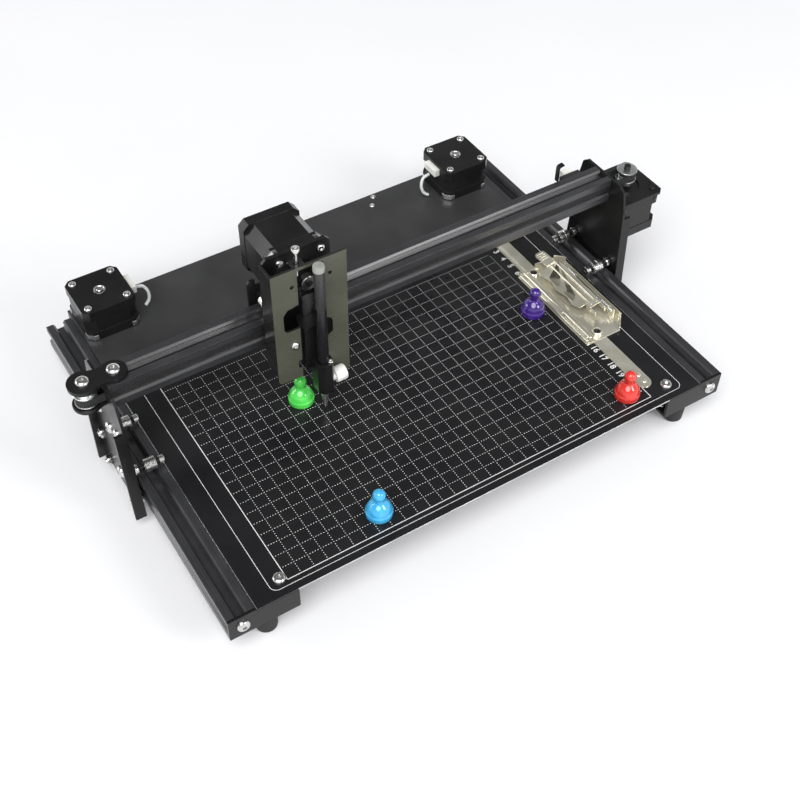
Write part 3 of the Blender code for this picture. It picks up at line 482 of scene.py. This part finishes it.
def motor_plate_screws():
    """Screws of the cross motor's plate, in the near-black that paints the shade of the plate's holes."""
    mesh = bmesh.new()
    shaft = middle("x_pulley")
    for across in (-MOTOR_SCREWS, MOTOR_SCREWS):
        for depth in (-MOTOR_SCREWS, MOTOR_SCREWS):
            button_screw(mesh, (shaft.x + across, shaft.y + depth, high("x_motor_plate").z), Z, 0.0022)
    piece("motor_plate_screws", mesh, HOLE_SHADE, "gantry")


def carriage_screws():
    """Screws of the carriage: lift motor, roller studs, front plate and rear plate."""
    mesh = bmesh.new()
    plate = low("carriage_plate")
    shaft = middle("lift_pinion")
    for across in (-MOTOR_SCREWS, MOTOR_SCREWS):
        button_screw(mesh, (shaft.x + across, plate.y, shaft.z + MOTOR_SCREWS), -Y, 0.0032)
    rear = high("carriage_rear_plate").y
    for name in ("top_left", "top_right", "bottom"):
        roller = middle(f"carriage_roller_{name}")
        nut(mesh, (roller.x, rear, roller.z), Y, 0.0040)
    front = low("pen_front_plate")
    button_screw(mesh, (front.x + 0.0145, front.y, 0.1097), -Y, 0.0034)
    rear_plate = low("carriage_rear_plate")
    button_screw(mesh, (rear_plate.x + 0.0055, rear_plate.y, 0.1225), -Y, 0.0036)
    piece("carriage_screws", mesh, STEEL, "carriage")


# ------------------------------------------------------------------------- print on the platen
GRID = Vector((-0.1685, -0.1485, 0))
COLUMNS, ROWS, DASHED_ROWS = 30, 22, 19
FRAME_WIDE = COLUMNS * CM + 0.002


def stroke(mesh, start, stop, width, level):
    """A flat printed line between two points."""
    start, stop = Vector(start), Vector(stop)
    side = Vector((start.y - stop.y, stop.x - start.x)).normalized() * width / 2
    mesh.faces.new([mesh.verts.new((*corner, level))
                    for corner in (start - side, stop - side, stop + side, start + side)])


def printed_grid():
    """Dashed centimetre grid in a solid frame, and a rounded outer frame."""
    level = high("platen").z + LIFTED
    dash, pitch, fine, bold, outer = 0.0008, CM / 5, 0.00042, 0.0006, 0.0004
    mesh = bmesh.new()
    far = GRID + Vector(((COLUMNS - 1) * CM, DASHED_ROWS * CM, 0))
    for column in range(1, COLUMNS):
        x = GRID.x + column * CM
        for step in range(int(DASHED_ROWS * CM / pitch)):
            y = GRID.y + step * pitch - dash / 2
            if y > GRID.y:
                stroke(mesh, (x, y), (x, y + dash), fine, level)
    for row in range(1, DASHED_ROWS + 1):
        y = GRID.y + row * CM
        for step in range(int((far.x - GRID.x) / pitch) + 1):
            x = GRID.x + step * pitch - dash / 2
            if x > GRID.x:
                stroke(mesh, (x, y), (x + dash, y), fine, level)
    piece("platen_dashes", mesh, INK, "base")

    mesh = bmesh.new()
    left, right = GRID.x, GRID.x + FRAME_WIDE
    front, rear = GRID.y, GRID.y + ROWS * CM
    for start, stop in (((left, front), (right, front)), ((right, front), (right, rear)),
                        ((right, rear), (left, rear)), ((left, rear), (left, front))):
        stroke(mesh, start, stop, bold, level)
    margin, sides, clip_strip, radius = 0.004, 0.0127, 0.0140, 0.005
    wide, deep = (left - sides, right + sides + clip_strip), (front - margin, rear + margin)
    west, east = wide[0] + radius, wide[1] - radius
    south, north = deep[0] + radius, deep[1] - radius
    outline = []
    for corner, start in (((east, south), -90), ((east, north), 0), ((west, north), 90), ((west, south), 180)):
        outline += arc(corner, radius, start, start + 90, 6)
    for start, stop in zip(outline, outline[1:] + outline[:1]):
        stroke(mesh, start, stop, outer, level)
    piece("platen_frame_lines", mesh, INK, "base")


def printed_numbers():
    """Centimetre numbers along the right of the grid, read from the right."""
    level = high("platen").z + LIFTED
    mesh = bmesh.new()
    for number in range(1, ROWS):
        curve = bpy.data.curves.new(f"ruler_number_{number}", "FONT")
        curve.body = str(number)
        curve.size = 0.0068
        curve.offset = 0.00014
        curve.align_x = "CENTER"
        curve.align_y = "CENTER"
        text = add_object(curve.name, curve)
        text.location = (GRID.x + FRAME_WIDE - 0.0048, GRID.y + (ROWS - number) * CM, level)
        text.rotation_euler = (0, 0, -math.pi / 2)
        bpy.context.view_layer.update()
        data = bpy.data.meshes.new_from_object(text.evaluated_get(bpy.context.evaluated_depsgraph_get()))
        data.transform(text.matrix_world)
        bpy.data.objects.remove(text)
        mesh.from_mesh(data)
    piece("ruler_numbers", mesh, INK, "base")


def platen_edge():
    """Strips along the platen's front and sides: its bare cut edges, made bright as painted highlights."""
    mesh = bmesh.new()
    start, stop = low("platen"), high("platen")
    box(mesh, (start.x + 0.030, start.y - 0.00012, start.z + 0.0002),
        (stop.x - 0.030, start.y, stop.z - 0.0001), 0)
    for edge, inward in ((start.x, 0.0005), (stop.x, -0.0005)):
        box(mesh, (min(edge, edge + inward), start.y + 0.0004, stop.z - 0.0003),
            (max(edge, edge + inward), stop.y - 0.001, stop.z + 0.00004), 0)
    piece("platen_highlight_strips", mesh, EDGE_HIGHLIGHT, "base")


# ------------------------------------------------------------------------- motors
def motor_details(node, axis, body, socket_side, flange_material):
    """Rear screws, bearing, flange corners and socket of a NEMA 17 motor whose shaft points along the axis."""
    start, stop, centre = low(node), high(node), middle(node)
    if axis.z < 0:
        rear = Vector((centre.x, centre.y, stop.z))
        face = Vector((rear.x, rear.y, stop.z - 0.028))
    elif axis.z > 0:
        rear = Vector((centre.x, centre.y, start.z))
        face = Vector((rear.x, rear.y, start.z + 0.033))
    else:
        rear = Vector((centre.x, stop.y, centre.z))
        face = Vector((rear.x, stop.y - 0.044, rear.z))
    out = -axis
    screws = bmesh.new()
    turn = along(out, rear)
    for u in (-MOTOR_SCREWS, MOTOR_SCREWS):
        for v in (-MOTOR_SCREWS, MOTOR_SCREWS):
            button_screw(screws, turn @ Vector((u, v, 0)), out, 0.0032)
    closed_lathe(screws, [(0.0046, 0.0), (0.0046, 0.0004), (0.0038, 0.0006), (0.0034, 0.0002), (0.0028, 0.0)],
                 turn)
    lathe(screws, [(0, 0.0012), (0.0021, 0.0012), (0.0025, 0.0008), (0.0025, 0), (0, 0)], turn, 24)
    piece(f"{node}_screws", screws, STEEL, body)

    flange = bmesh.new()
    half, proud = MOTOR_HALF, MOTOR_HALF + 0.0002
    cut = half - 0.0046
    back = cut - 0.0030
    for quarter in range(4):
        place = along(axis, face, quarter * math.pi / 2)
        corner = [(cut, half - 0.0004), (back, half), (back, proud), (cut, proud),
                  (proud, cut), (proud, back), (half, back), (half - 0.0004, cut)]
        prism(flange, corner, place, -0.0050, -0.0004, 0.0002)
    piece(f"{node}_flange_corners", flange, flange_material, body)

    housing = bmesh.new()
    across = axis.cross(socket_side)
    turn = Matrix((*(list(v) + [0] for v in (across, axis, socket_side)), [0, 0, 0, 1])).transposed()
    turn.translation = rear + axis * 0.0055 + socket_side * (MOTOR_WIDTH / 2)
    prism(housing, rectangle(-0.0080, -0.0030, 0.0080, 0.0030), turn, -0.001, 0.0048, 0.0003)
    for pin in range(6):
        u = -0.0050 + pin * 0.0020
        prism(housing, rectangle(u, -0.0016, u + 0.0010, 0.0016), turn, 0.004, 0.0052)
    piece(f"{node}_socket", housing, SOCKET, body)


# ------------------------------------------------------------------------- drive parts
def toothed(node, hub_up=True):
    """Aluminium belt pulley: two flanges, twenty teeth between them, and a hub above or below."""
    start, stop = low(node), high(node)
    centre = middle(node)
    hub = stop.z - start.z - 0.009
    belt_level = start.z + 0.0045 if hub_up else stop.z - 0.0045
    turn = Matrix.Rotation(0 if hub_up else math.pi, 4, "X")
    place = Matrix.Translation((centre.x, centre.y, belt_level)) @ turn
    mesh = bmesh.new()
    bore = 0.0026
    closed_lathe(mesh, [(bore, -0.0045), (bore, -0.0035), (0.0079, -0.0035), (0.0080, -0.0037),
                        (0.0080, -0.0043), (0.0077, -0.0045)], place, 40)
    closed_lathe(mesh, [(bore, 0.0035), (bore, 0.0045 + hub), (0.0060, 0.0045 + hub), (0.0065, 0.0041 + hub),
                        (0.0065, 0.0045), (0.0077, 0.0045), (0.0080, 0.0043), (0.0080, 0.0037),
                        (0.0079, 0.0035)], place, 40)
    teeth = []
    for tooth in range(20):
        for offset, radius in ((0.0, 0.0052), (4.5, 0.0052), (6.5, 0.0059), (15.5, 0.0059)):
            angle = math.radians(tooth * 18 + offset)
            teeth.append((radius * math.cos(angle), radius * math.sin(angle)))
    rings = []
    for height in (-0.0036, 0.0036):
        rings.append([mesh.verts.new(place @ Vector((u, v, height))) for u, v in teeth])
    for step in range(len(teeth)):
        after = (step + 1) % len(teeth)
        mesh.faces.new((rings[0][step], rings[0][after], rings[1][after], rings[1][step]))
    made = piece(f"{node}_toothed", mesh, TURNED, node, 30)
    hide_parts(node)


def bearing(node, axis):
    """Roller: grooved outer ring, and a recessed shield and inner ring on each face."""
    half = abs((high(node) - low(node)).dot(axis)) / 2
    radius = 0.0050
    mesh = bmesh.new()
    profile = [(0.0021, -half), (0.0030, -half), (0.0031, 0.0003 - half), (0.0040, 0.0003 - half),
               (0.0041, -half), (radius - 0.0004, -half), (radius, 0.0004 - half)]
    mirrored = [(r, -h) for r, h in reversed(profile)]
    closed_lathe(mesh, profile + [(radius, -0.0004), (radius - 0.0003, -0.0002), (radius - 0.0003, 0.0002),
                                  (radius, 0.0004)] + mirrored, along(axis, middle(node)), 40)
    made = piece(f"{node}_bearing", mesh, STEEL, node, 30)
    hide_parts(node)


def drive():
    """Every pulley, idler and roller."""
    for side in ("left", "right"):
        toothed(f"y_pulley_{side}")
        toothed(f"y_idler_{side}")
        for level in ("upper", "lower"):
            for row in ("front", "rear"):
                bearing(f"roller_{level}_{row}_{side}", X)
    toothed("x_pulley", hub_up=False)
    toothed("x_idler")
    for name in ("top_left", "top_right", "bottom"):
        bearing(f"carriage_roller_{name}", Y)


# ------------------------------------------------------------------------- pen and its parts
def pen():
    """Pen in its pieces: cap, grey tube, dark tube, cone and point."""
    axis = middle("pen")
    place = Matrix.Translation((axis.x, axis.y, low("pen").z))
    sections = {
        "pen_end_cap": (PEN_CAP, [(0, 0.1364), (0.0006, 0.1364), (0.0009, 0.1369), (0.0030, 0.1369),
                                  (0.0038, 0.1364), (0.0041, 0.1354), (0.0041, 0.1322), (0.0036, 0.1318),
                                  (0, 0.1318)]),
        "pen_upper_tube": (PEN_TUBE, [(0, 0.1320), (0.0036, 0.1320), (0.0038, 0.1300), (0.0038, 0.0990),
                                      (0.0037, 0.0986), (0, 0.0986)]),
        "pen_lower_tube": (PEN_DARK, [(0, 0.0988), (0.0037, 0.0988), (0.0039, 0.0980), (0.0040, 0.0700),
                                      (0.0041, 0.0400), (0.0041, 0.0215), (0.0038, 0.0192),
                                      (0.0033, 0.0188), (0, 0.0188)]),
        "pen_cone": (TURNED, [(0, 0.0190), (0.0032, 0.0190), (0.0031, 0.0180), (0.0022, 0.0120),
                              (0.0013, 0.0060), (0.0010, 0.0030), (0, 0.0030)]),
        "pen_point": (STEEL, [(0, 0.0032), (0.0007, 0.0032), (0.0005, 0.0008), (0.0003, 0.0002), (0, 0.0)]),
    }
    for name, (material, profile) in sections.items():
        mesh = bmesh.new()
        lathe(mesh, profile, place, 40)
        made = piece(name, mesh, material, "pen_lift")
        if name == "pen_lower_tube":
            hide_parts("pen")


def pen_clamp_details():
    """Cap screw in the top of the clamp, and the knurled thumb screw."""
    mesh = bmesh.new()
    screw = (middle("pen").x + 0.0030, low("pen_clamp").y + 0.0022, high("pen_clamp").z)
    cap_screw(mesh, screw, Z, 0.0022)
    piece("clamp_screws", mesh, STEEL, "pen_lift")

    knob = middle("thumb_screw")
    place = along(X, (low("thumb_screw").x, knob.y, knob.z))
    mesh = bmesh.new()
    profile = [(0, 0.0118), (0.0030, 0.0118), (0.0034, 0.0114), (0.0044, 0.0114), (0.0048, 0.0118),
               (0.0053, 0.0118), (0.0058, 0.0112, "wave"), (0.0058, 0.0040, "wave"), (0.0053, 0.0033),
               (0.0034, 0.0030), (0.0034, 0.0012), (0.0018, 0.0010), (0.0018, 0.0), (0, 0.0)]
    lathe(mesh, profile, place, 96, lambda angle: 1 - 0.035 * (0.5 + 0.5 * math.cos(24 * angle)))
    made = piece("thumb_screw_knob", mesh, KNOB, "thumb_screw", 50)
    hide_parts("thumb_screw")


def height_screw_details():
    """Socket screw with the ridges of its thread."""
    axis = middle("height_screw")
    top, bottom = high("height_screw").z, low("height_screw").z
    thread_top, ridge = top - 0.0032, 0.0005
    mesh = bmesh.new()
    profile = [(0, top - 0.0014), (0.0013, top - 0.0014, "hex"), (0.0013, top, "hex"), (0.0024, top),
               (0.0027, top - 0.0003), (0.0027, top - 0.0030), (0.0015, top - 0.0030)]
    for step in range(int((thread_top - bottom) / ridge)):
        profile.append((0.0015 if step % 2 else 0.00125, thread_top - step * ridge))
    profile += [(0.0012, bottom), (0, bottom)]
    lathe(mesh, profile, Matrix.Translation((axis.x, axis.y, 0)), 24)
    made = piece("height_screw_threaded", mesh, STEEL, "carriage", 60)
    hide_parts("height_screw")


# ------------------------------------------------------------------------- magnets
def magnets():
    """Magnets shaped as push pins: a ball over a waisted dome, with a recess under the foot."""
    for colour, material in MAGNETS.items():
        node = f"magnet_{colour}"
        foot = middle(node)
        place = Matrix.Translation((foot.x, foot.y, low(node).z))
        tall, ball = 0.0243, 0.0046
        centre = tall - ball
        profile = [(0, tall)]
        profile += [(ball * math.cos(math.radians(a)), centre + ball * math.sin(math.radians(a)))
                    for a in range(80, -41, -12)]
        profile += [(0.0033, 0.0156), (0.0032, 0.0146), (0.0034, 0.0137), (0.0041, 0.0129), (0.0056, 0.0119),
                    (0.0071, 0.0104), (0.0082, 0.0084), (0.0088, 0.0062), (0.0090, 0.0051), (0.0095, 0.0047),
                    (0.0096, 0.0042), (0.0096, 0.0010), (0.0094, 0.0003), (0.0090, 0.0), (0.0071, 0.0),
                    (0.0071, 0.0006), (0, 0.0006)]
        mesh = bmesh.new()
        lathe(mesh, profile, place, 56)
        made = piece(f"{node}_body", mesh, material, node, 60)
        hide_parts(node)


# ------------------------------------------------------------------------- paper clip
CLIP_PIVOT = Vector((MIDLINE + 0.1715, 0, 0.0500))
CLIP_STRIP = MIDLINE + 0.1488
CLIP_SOUTH, CLIP_NORTH = -0.0835, 0.0065
EYELETS = ((0.1372, 0.0018), (0.1392, -0.0770))


def clip_pan():
    """Strip and pan of the paper clip: ribbed strip, and a pan with rims and cut corners."""
    floor = low("clip_base").z
    west, east = low("clip_base").x, high("clip_base").x
    wide, end = 0.0060, 0.0465
    mesh = bmesh.new()
    outline = arc((CLIP_STRIP, -0.1345), wide, 180, 360, 16)
    outline += [(CLIP_STRIP + wide, end), (CLIP_STRIP - wide, end)]
    prism(mesh, outline, UPRIGHT, floor, floor + 0.0010, 0.0002)
    for across in (-0.0034, -0.0022):
        rib = CLIP_STRIP + across
        prism(mesh, rectangle(rib - 0.0003, CLIP_NORTH, rib + 0.0003, 0.0462), UPRIGHT,
              floor + 0.0009, floor + 0.0013, 0.0001)
    pan = [(west, CLIP_SOUTH), (east - 0.0085, CLIP_SOUTH), (east, CLIP_SOUTH + 0.0095),
           (east, CLIP_NORTH - 0.0090), (east - 0.0070, CLIP_NORTH - 0.0020), (west + 0.0160, CLIP_NORTH),
           (west, CLIP_NORTH)]
    prism(mesh, pan, UPRIGHT, floor, floor + 0.0014, 0.0003)
    rim = 0.0008
    heights = (0.0040, 0.0070, 0.0110, 0.0080, 0.0040)
    for start, stop, rise in zip(pan[1:], pan[2:], heights):
        start, stop = Vector(start), Vector(stop)
        inward = Vector((start.y - stop.y, stop.x - start.x)).normalized() * rim
        wall = [tuple(corner) for corner in (start, stop, stop + inward, start + inward)]
        prism(mesh, wall, UPRIGHT, floor, floor + rise, 0.0002)
    inner = rectangle(east - 0.0042, CLIP_SOUTH + 0.0140, east - 0.0036, CLIP_NORTH - 0.0120)
    prism(mesh, inner, UPRIGHT, floor + 0.0010, floor + 0.0085, 0.0002)
    made = piece("clip_pan", mesh, NICKEL, "base")
    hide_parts("clip_base")


def clip_trim():
    """Bars along the pan's edge, its two eyelets and the rivets at the strip's end."""
    floor, west = low("clip_base").z, low("clip_base").x
    mesh = bmesh.new()
    for across, rise, radius in ((0.0014, 0.0030, 0.0011), (0.0046, 0.0044, 0.0013), (0.0078, 0.0036, 0.0010)):
        bar(mesh, (west + across, CLIP_SOUTH + 0.0020, floor + rise),
            (west + across, CLIP_NORTH - 0.0020, floor + rise), radius)
    ridge = west + 0.0030
    for front, rear in ((-0.0790, -0.0520), (-0.0480, -0.0030)):
        prism(mesh, rectangle(ridge - 0.0006, front, ridge + 0.0006, rear), UPRIGHT,
              floor + 0.0012, floor + 0.0047, 0.0002)
    for x, y in EYELETS:
        closed_lathe(mesh, [(0.0026, 0.0036), (0.0029, 0.0044), (0.0036, 0.0046), (0.0042, 0.0040),
                            (0.0044, 0.0014), (0.0036, 0.0014), (0.0034, 0.0030)],
                     Matrix.Translation((x, y, floor)))
    for y in (-0.1345, -0.1275):
        lathe(mesh, [(0, 0.0019), (0.0010, 0.0018), (0.0018, 0.0014), (0.0020, 0.0010), (0, 0.0010)],
              Matrix.Translation((CLIP_STRIP + 0.0008, y, floor)), 24)
    piece("clip_bars_and_eyelets", mesh, NICKEL, "base")

    mesh = bmesh.new()
    # Black plugs in the eyelets paint the shade inside their holes.
    for x, y in EYELETS:
        lathe(mesh, [(0, 0.0026), (0.0016, 0.0024), (0.0027, 0.0032), (0.0027, 0.0016), (0, 0.0016)],
              Matrix.Translation((x, y, floor)), 28)
    piece("clip_eyelet_hole_shade", mesh, HOLE_SHADE, "base")


def scallop(deep, centre):
    """Points of one bay cut into the lever plate's free edge."""
    angles = [math.radians(angle) for angle in range(20, 161, 20)]
    return [(-0.0215 + deep * math.sin(angle), centre - 0.0065 * math.cos(angle)) for angle in angles]


def clip_lever():
    """Sprung lever of the clip: scalloped plate, two rods, a bridge at its end and a ribbed thumb tab."""
    lean = (Matrix.Translation((CLIP_PIVOT.x, 0, CLIP_PIVOT.z + 0.0002))
            @ Matrix.Rotation(math.radians(-11), 4, "Y"))
    mesh = bmesh.new()
    outline = [(-0.0020, -0.0020), (-0.0200, -0.0020), (-0.0228, -0.0060), (-0.0210, -0.0110)]
    outline += scallop(0.0085, -0.0180)
    outline += [(-0.0222, -0.0260), (-0.0210, -0.0300)]
    outline += scallop(0.0080, -0.0375)
    outline += [(-0.0215, -0.0455), (-0.0190, -0.0520), (-0.0020, -0.0520)]
    prism(mesh, list(reversed(outline)), lean, -0.0004, 0.0004, 0.0001)
    for across in (-0.0105, -0.0055):
        bar(mesh, lean @ Vector((across, -0.0010, 0.0013)), lean @ Vector((across, -0.0560, 0.0013)), 0.0008)
    for across in (-0.0132, -0.0040):
        prism(mesh, rectangle(across - 0.0004, -0.0640, across + 0.0004, -0.0525), lean,
              -0.0035, 0.0016, 0.0001)
    prism(mesh, rectangle(-0.0136, -0.0580, -0.0036, -0.0530), lean, 0.0009, 0.0018, 0.0001)
    tab = [(-0.0130, -0.0020), (-0.0045, -0.0020), (-0.0050, 0.0120), (-0.0065, 0.0148), (-0.0125, 0.0148),
           (-0.0142, 0.0120)]
    prism(mesh, tab, lean, 0.0002, 0.0012, 0.0002)
    for rib in range(4):
        y = 0.0060 + rib * 0.0022
        bar(mesh, lean @ Vector((-0.0125, y, 0.0012)), lean @ Vector((-0.0065, y, 0.0012)), 0.0004, 8)
    made = piece("clip_lever_pressed", mesh, NICKEL, "clip_lever")
    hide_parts("clip_lever")


def clip_springs():
    """Pin under the lever, with a spring of eight turns near each end."""
    x, z = CLIP_PIVOT.x - 0.0005, CLIP_PIVOT.z - 0.0020
    mesh = bmesh.new()
    bar(mesh, (x, CLIP_SOUTH + 0.0150, z), (x, CLIP_NORTH - 0.0130, z), 0.0010)
    turns, steps, pitch, coil = 8, 12, 0.0012, 0.0019
    for start in (-0.0650, -0.0220):
        path = []
        for step in range(turns * steps + 1):
            angle = math.tau * step / steps
            path.append(Vector((x + coil * math.cos(angle), start + pitch * step / steps,
                                z + coil * math.sin(angle))))
        tube(mesh, path, 0.00035, 6)
    piece("clip_pin_and_springs", mesh, STEEL, "base", 50)


# ------------------------------------------------------------------------- electronics and small parts
def board_details():
    """Chips and sockets under the controller board."""
    board = low("controller_board")
    under = 0.0325              # level of the board's lower face
    chips = bmesh.new()
    for index in range(6):
        x = board.x + 0.012 + index * 0.016
        box(chips, (x, board.y + 0.008, under - 0.0022), (x + 0.007, board.y + 0.015, under))
    box(chips, (board.x + 0.045, board.y + 0.040, under - 0.0028), (board.x + 0.063, board.y + 0.052, under))
    piece("board_chips", chips, CHIP, "base")
    plugs = bmesh.new()
    for index in range(3):
        x = board.x + 0.010 + index * 0.020
        box(plugs, (x, board.y + 0.001, under - 0.0060), (x + 0.013, board.y + 0.007, under))
    piece("board_sockets", plugs, SOCKET, "base")


def deck_ports():
    """Data socket and power socket in the deck's rear wall."""
    wall, level = high("rear_deck").y, 0.0300
    ports = bmesh.new()
    data_outline = [(-0.0300, -0.0060), (-0.0180, -0.0060), (-0.0180, 0.0050), (-0.0200, 0.0060),
                    (-0.0280, 0.0060), (-0.0300, 0.0050)]
    prism(ports, data_outline, along(Y, (0.0, wall, level)), -0.0004, 0.0012, 0.0002)
    power = along(Y, (0.030, wall, level))
    closed_lathe(ports, [(0.0030, 0.0006), (0.0034, 0.0016), (0.0052, 0.0016), (0.0056, 0.0006),
                         (0.0056, 0.0), (0.0030, 0.0)], power, 28)
    lathe(ports, [(0, 0.0012), (0.0008, 0.0012), (0.0010, 0.0), (0, 0.0)], power, 16)
    piece("deck_ports", ports, DARK_STEEL, "base")


def end_stop():
    """End stop behind the right end of the beam: its body, its white socket and a hooked lever."""
    beam = high("x_beam")
    mesh = bmesh.new()
    box(mesh, (beam.x - 0.030, beam.y + 0.0006, beam.z - 0.012),
        (beam.x - 0.012, beam.y + 0.0060, beam.z - 0.002))
    piece("end_stop_body", mesh, CHIP, "gantry")
    mesh = bmesh.new()
    box(mesh, (beam.x - 0.026, beam.y + 0.0064, beam.z - 0.010),
        (beam.x - 0.017, beam.y + 0.0110, beam.z - 0.001))
    piece("end_stop_socket", mesh, SOCKET, "gantry")
    mesh = bmesh.new()
    hook = [(-0.0340, -0.0040), (-0.0340, 0.0085), (-0.0330, 0.0100), (-0.0290, 0.0105), (-0.0290, 0.0097),
            (-0.0325, 0.0092), (-0.0332, 0.0080), (-0.0332, -0.0040)]
    prism(mesh, hook, along(-Y, (beam.x, beam.y + 0.0050, beam.z)), -0.0020, 0.0020, 0.0001)
    piece("end_stop_lever", mesh, POWDER, "gantry")


def idler_plate():
    """Lower plate of the idler bracket: round about the idler, straight towards the beam."""
    idler = middle("x_idler")
    under = low("x_idler").z - 0.0006
    neck, end, waist = idler.x + 0.0085, idler.x + 0.0105, 0.0070
    outline = arc((idler.x, idler.y), 0.0100, 55, 305, 20)
    outline += [(neck, idler.y - waist), (end, idler.y - waist)]
    outline += [(end, idler.y + waist), (neck, idler.y + waist)]
    mesh = bmesh.new()
    prism(mesh, outline, UPRIGHT, under - 0.0028, under, 0.0004)
    piece("idler_lower_plate", mesh, POWDER, "gantry")


# ------------------------------------------------------------------------- studio
CAMERA_PLACE = (-0.3428, -0.5482, 0.6945)
CAMERA_AIM = Vector((0.36171, 0.56094, -0.74466))
CAMERA_ROLL, CAMERA_LENS = 0.967, 54.33     # degrees and millimetres
FLOOR_HALF = 20.0


def point_at(holder, aim):
    holder.rotation_euler = Vector(aim).to_track_quat("-Z", "Y").to_euler()


def floor():
    """Wide pale floor."""
    mesh = bmesh.new()
    mesh.faces.new([mesh.verts.new((*corner, 0))
                    for corner in rectangle(-FLOOR_HALF, -FLOOR_HALF, FLOOR_HALF, FLOOR_HALF)])
    data = bpy.data.meshes.new("floor")
    mesh.to_mesh(data)
    mesh.free()
    shader = Shader("floor_white")
    shader.colour(shader.blend(shader.noise(3.0), (0.86, 0.86, 0.875), (0.88, 0.88, 0.895)))
    shader.roughness(shader.between(shader.noise(8.0), 0.65, 0.75))
    data.materials.append(shader.material)
    add_object("floor", data)


def sky():
    """Pale surround, bright near the horizon and dim overhead."""
    world = bpy.data.worlds.new("studio")
    bpy.context.scene.world = world
    world.use_nodes = True
    tree = world.node_tree
    split = tree.nodes.new("ShaderNodeSeparateXYZ")
    rise = tree.nodes.new("ShaderNodeMapRange")
    for socket, value in (("From Min", 0.22), ("From Max", 0.60), ("To Min", 0.92), ("To Max", 0.20)):
        rise.inputs[socket].default_value = value
    tree.links.new(tree.nodes.new("ShaderNodeTexCoord").outputs["Generated"], split.inputs["Vector"])
    tree.links.new(split.outputs["Z"], rise.inputs["Value"])
    tree.links.new(rise.outputs["Result"], tree.nodes["Background"].inputs["Strength"])
    tree.nodes["Background"].inputs["Color"].default_value = (0.97, 0.98, 1.0, 1)


def lamps():
    """A very soft sun and three round lamps aimed at the origin."""
    sun = bpy.data.lights.new("sun", "SUN")
    sun.energy = 1.9
    sun.angle = math.radians(50)
    point_at(add_object("sun", sun), (1.0, 1.1, -2.4))
    for name, place, size, power in (("key", (-1.0, -1.1, 2.0), 1.7, 16),
                                     ("front", (0.80, -1.60, 1.20), 0.8, 14),
                                     ("rear", (-1.55, 1.20, 0.74), 0.8, 6)):
        light = bpy.data.lights.new(name, "AREA")
        light.shape = "DISK"
        light.size = size
        light.energy = power
        lamp = add_object(name, light)
        lamp.location = place
        point_at(lamp, -Vector(place))


def studio():
    """Pale floor, soft lights and the camera."""
    floor()
    sky()
    lamps()
    bpy.context.scene.view_settings.view_transform = "Standard"
    camera = bpy.data.cameras.new("camera")
    camera.lens = CAMERA_LENS
    camera.sensor_width = 36
    camera.clip_start = 0.01
    holder = add_object("camera", camera)
    holder.location = CAMERA_PLACE
    holder.rotation_mode = "QUATERNION"
    roll = Matrix.Rotation(math.radians(CAMERA_ROLL), 3, "Z").to_quaternion()
    holder.rotation_quaternion = CAMERA_AIM.to_track_quat("-Z", "Y") @ roll
    bpy.context.scene.camera = holder


# ------------------------------------------------------------------------- assembly
dress(BLACK_Y, "left_rail", "right_rail")
dress(BLACK_X, "x_beam")
dress(POWDER, "front_bracket_left", "front_bracket_right", "side_plate_left", "side_plate_right",
      "belt_clamp_left", "belt_clamp_right", "x_motor_plate", "idler_bracket", "carriage_plate",
      "carriage_rear_plate", "pen_slider", "pen_clamp")
dress(PLATEN, "platen")
dress(DECK, "rear_deck")
dress(LACQUER_AND_REFLECTION, "pen_front_plate")
dress(MOTOR, "y_motor_left", "y_motor_right", "x_motor", "z_motor")
dress(DARK_STEEL, "lift_pinion", "lift_rail")
dress(RUBBER, "foot_front_left", "foot_front_right", "foot_rear_left", "foot_rear_right")
dress(BELT_Y, "y_belt_left", "y_belt_right")
dress(BELT_X, "x_belt")
dress(BOARD, "controller_board")
dress(SLEEVE, "y_motor_lead_left", "y_motor_lead_right")

studio()
frame_screws()
gantry_screws()
motor_plate_screws()
carriage_screws()
printed_grid()
printed_numbers()
platen_edge()
motor_details("y_motor_left", -Z, "base", X, TURNED)
motor_details("y_motor_right", -Z, "base", -X, TURNED)
motor_details("x_motor", Z, "gantry", Y, MOTOR)
motor_details("z_motor", -Y, "carriage", -Z, DARK_STEEL)
drive()
pen()
pen_clamp_details()
height_screw_details()
magnets()
clip_pan()
clip_trim()
clip_lever()
clip_springs()
board_details()
deck_ports()
end_stop()
idler_plate()
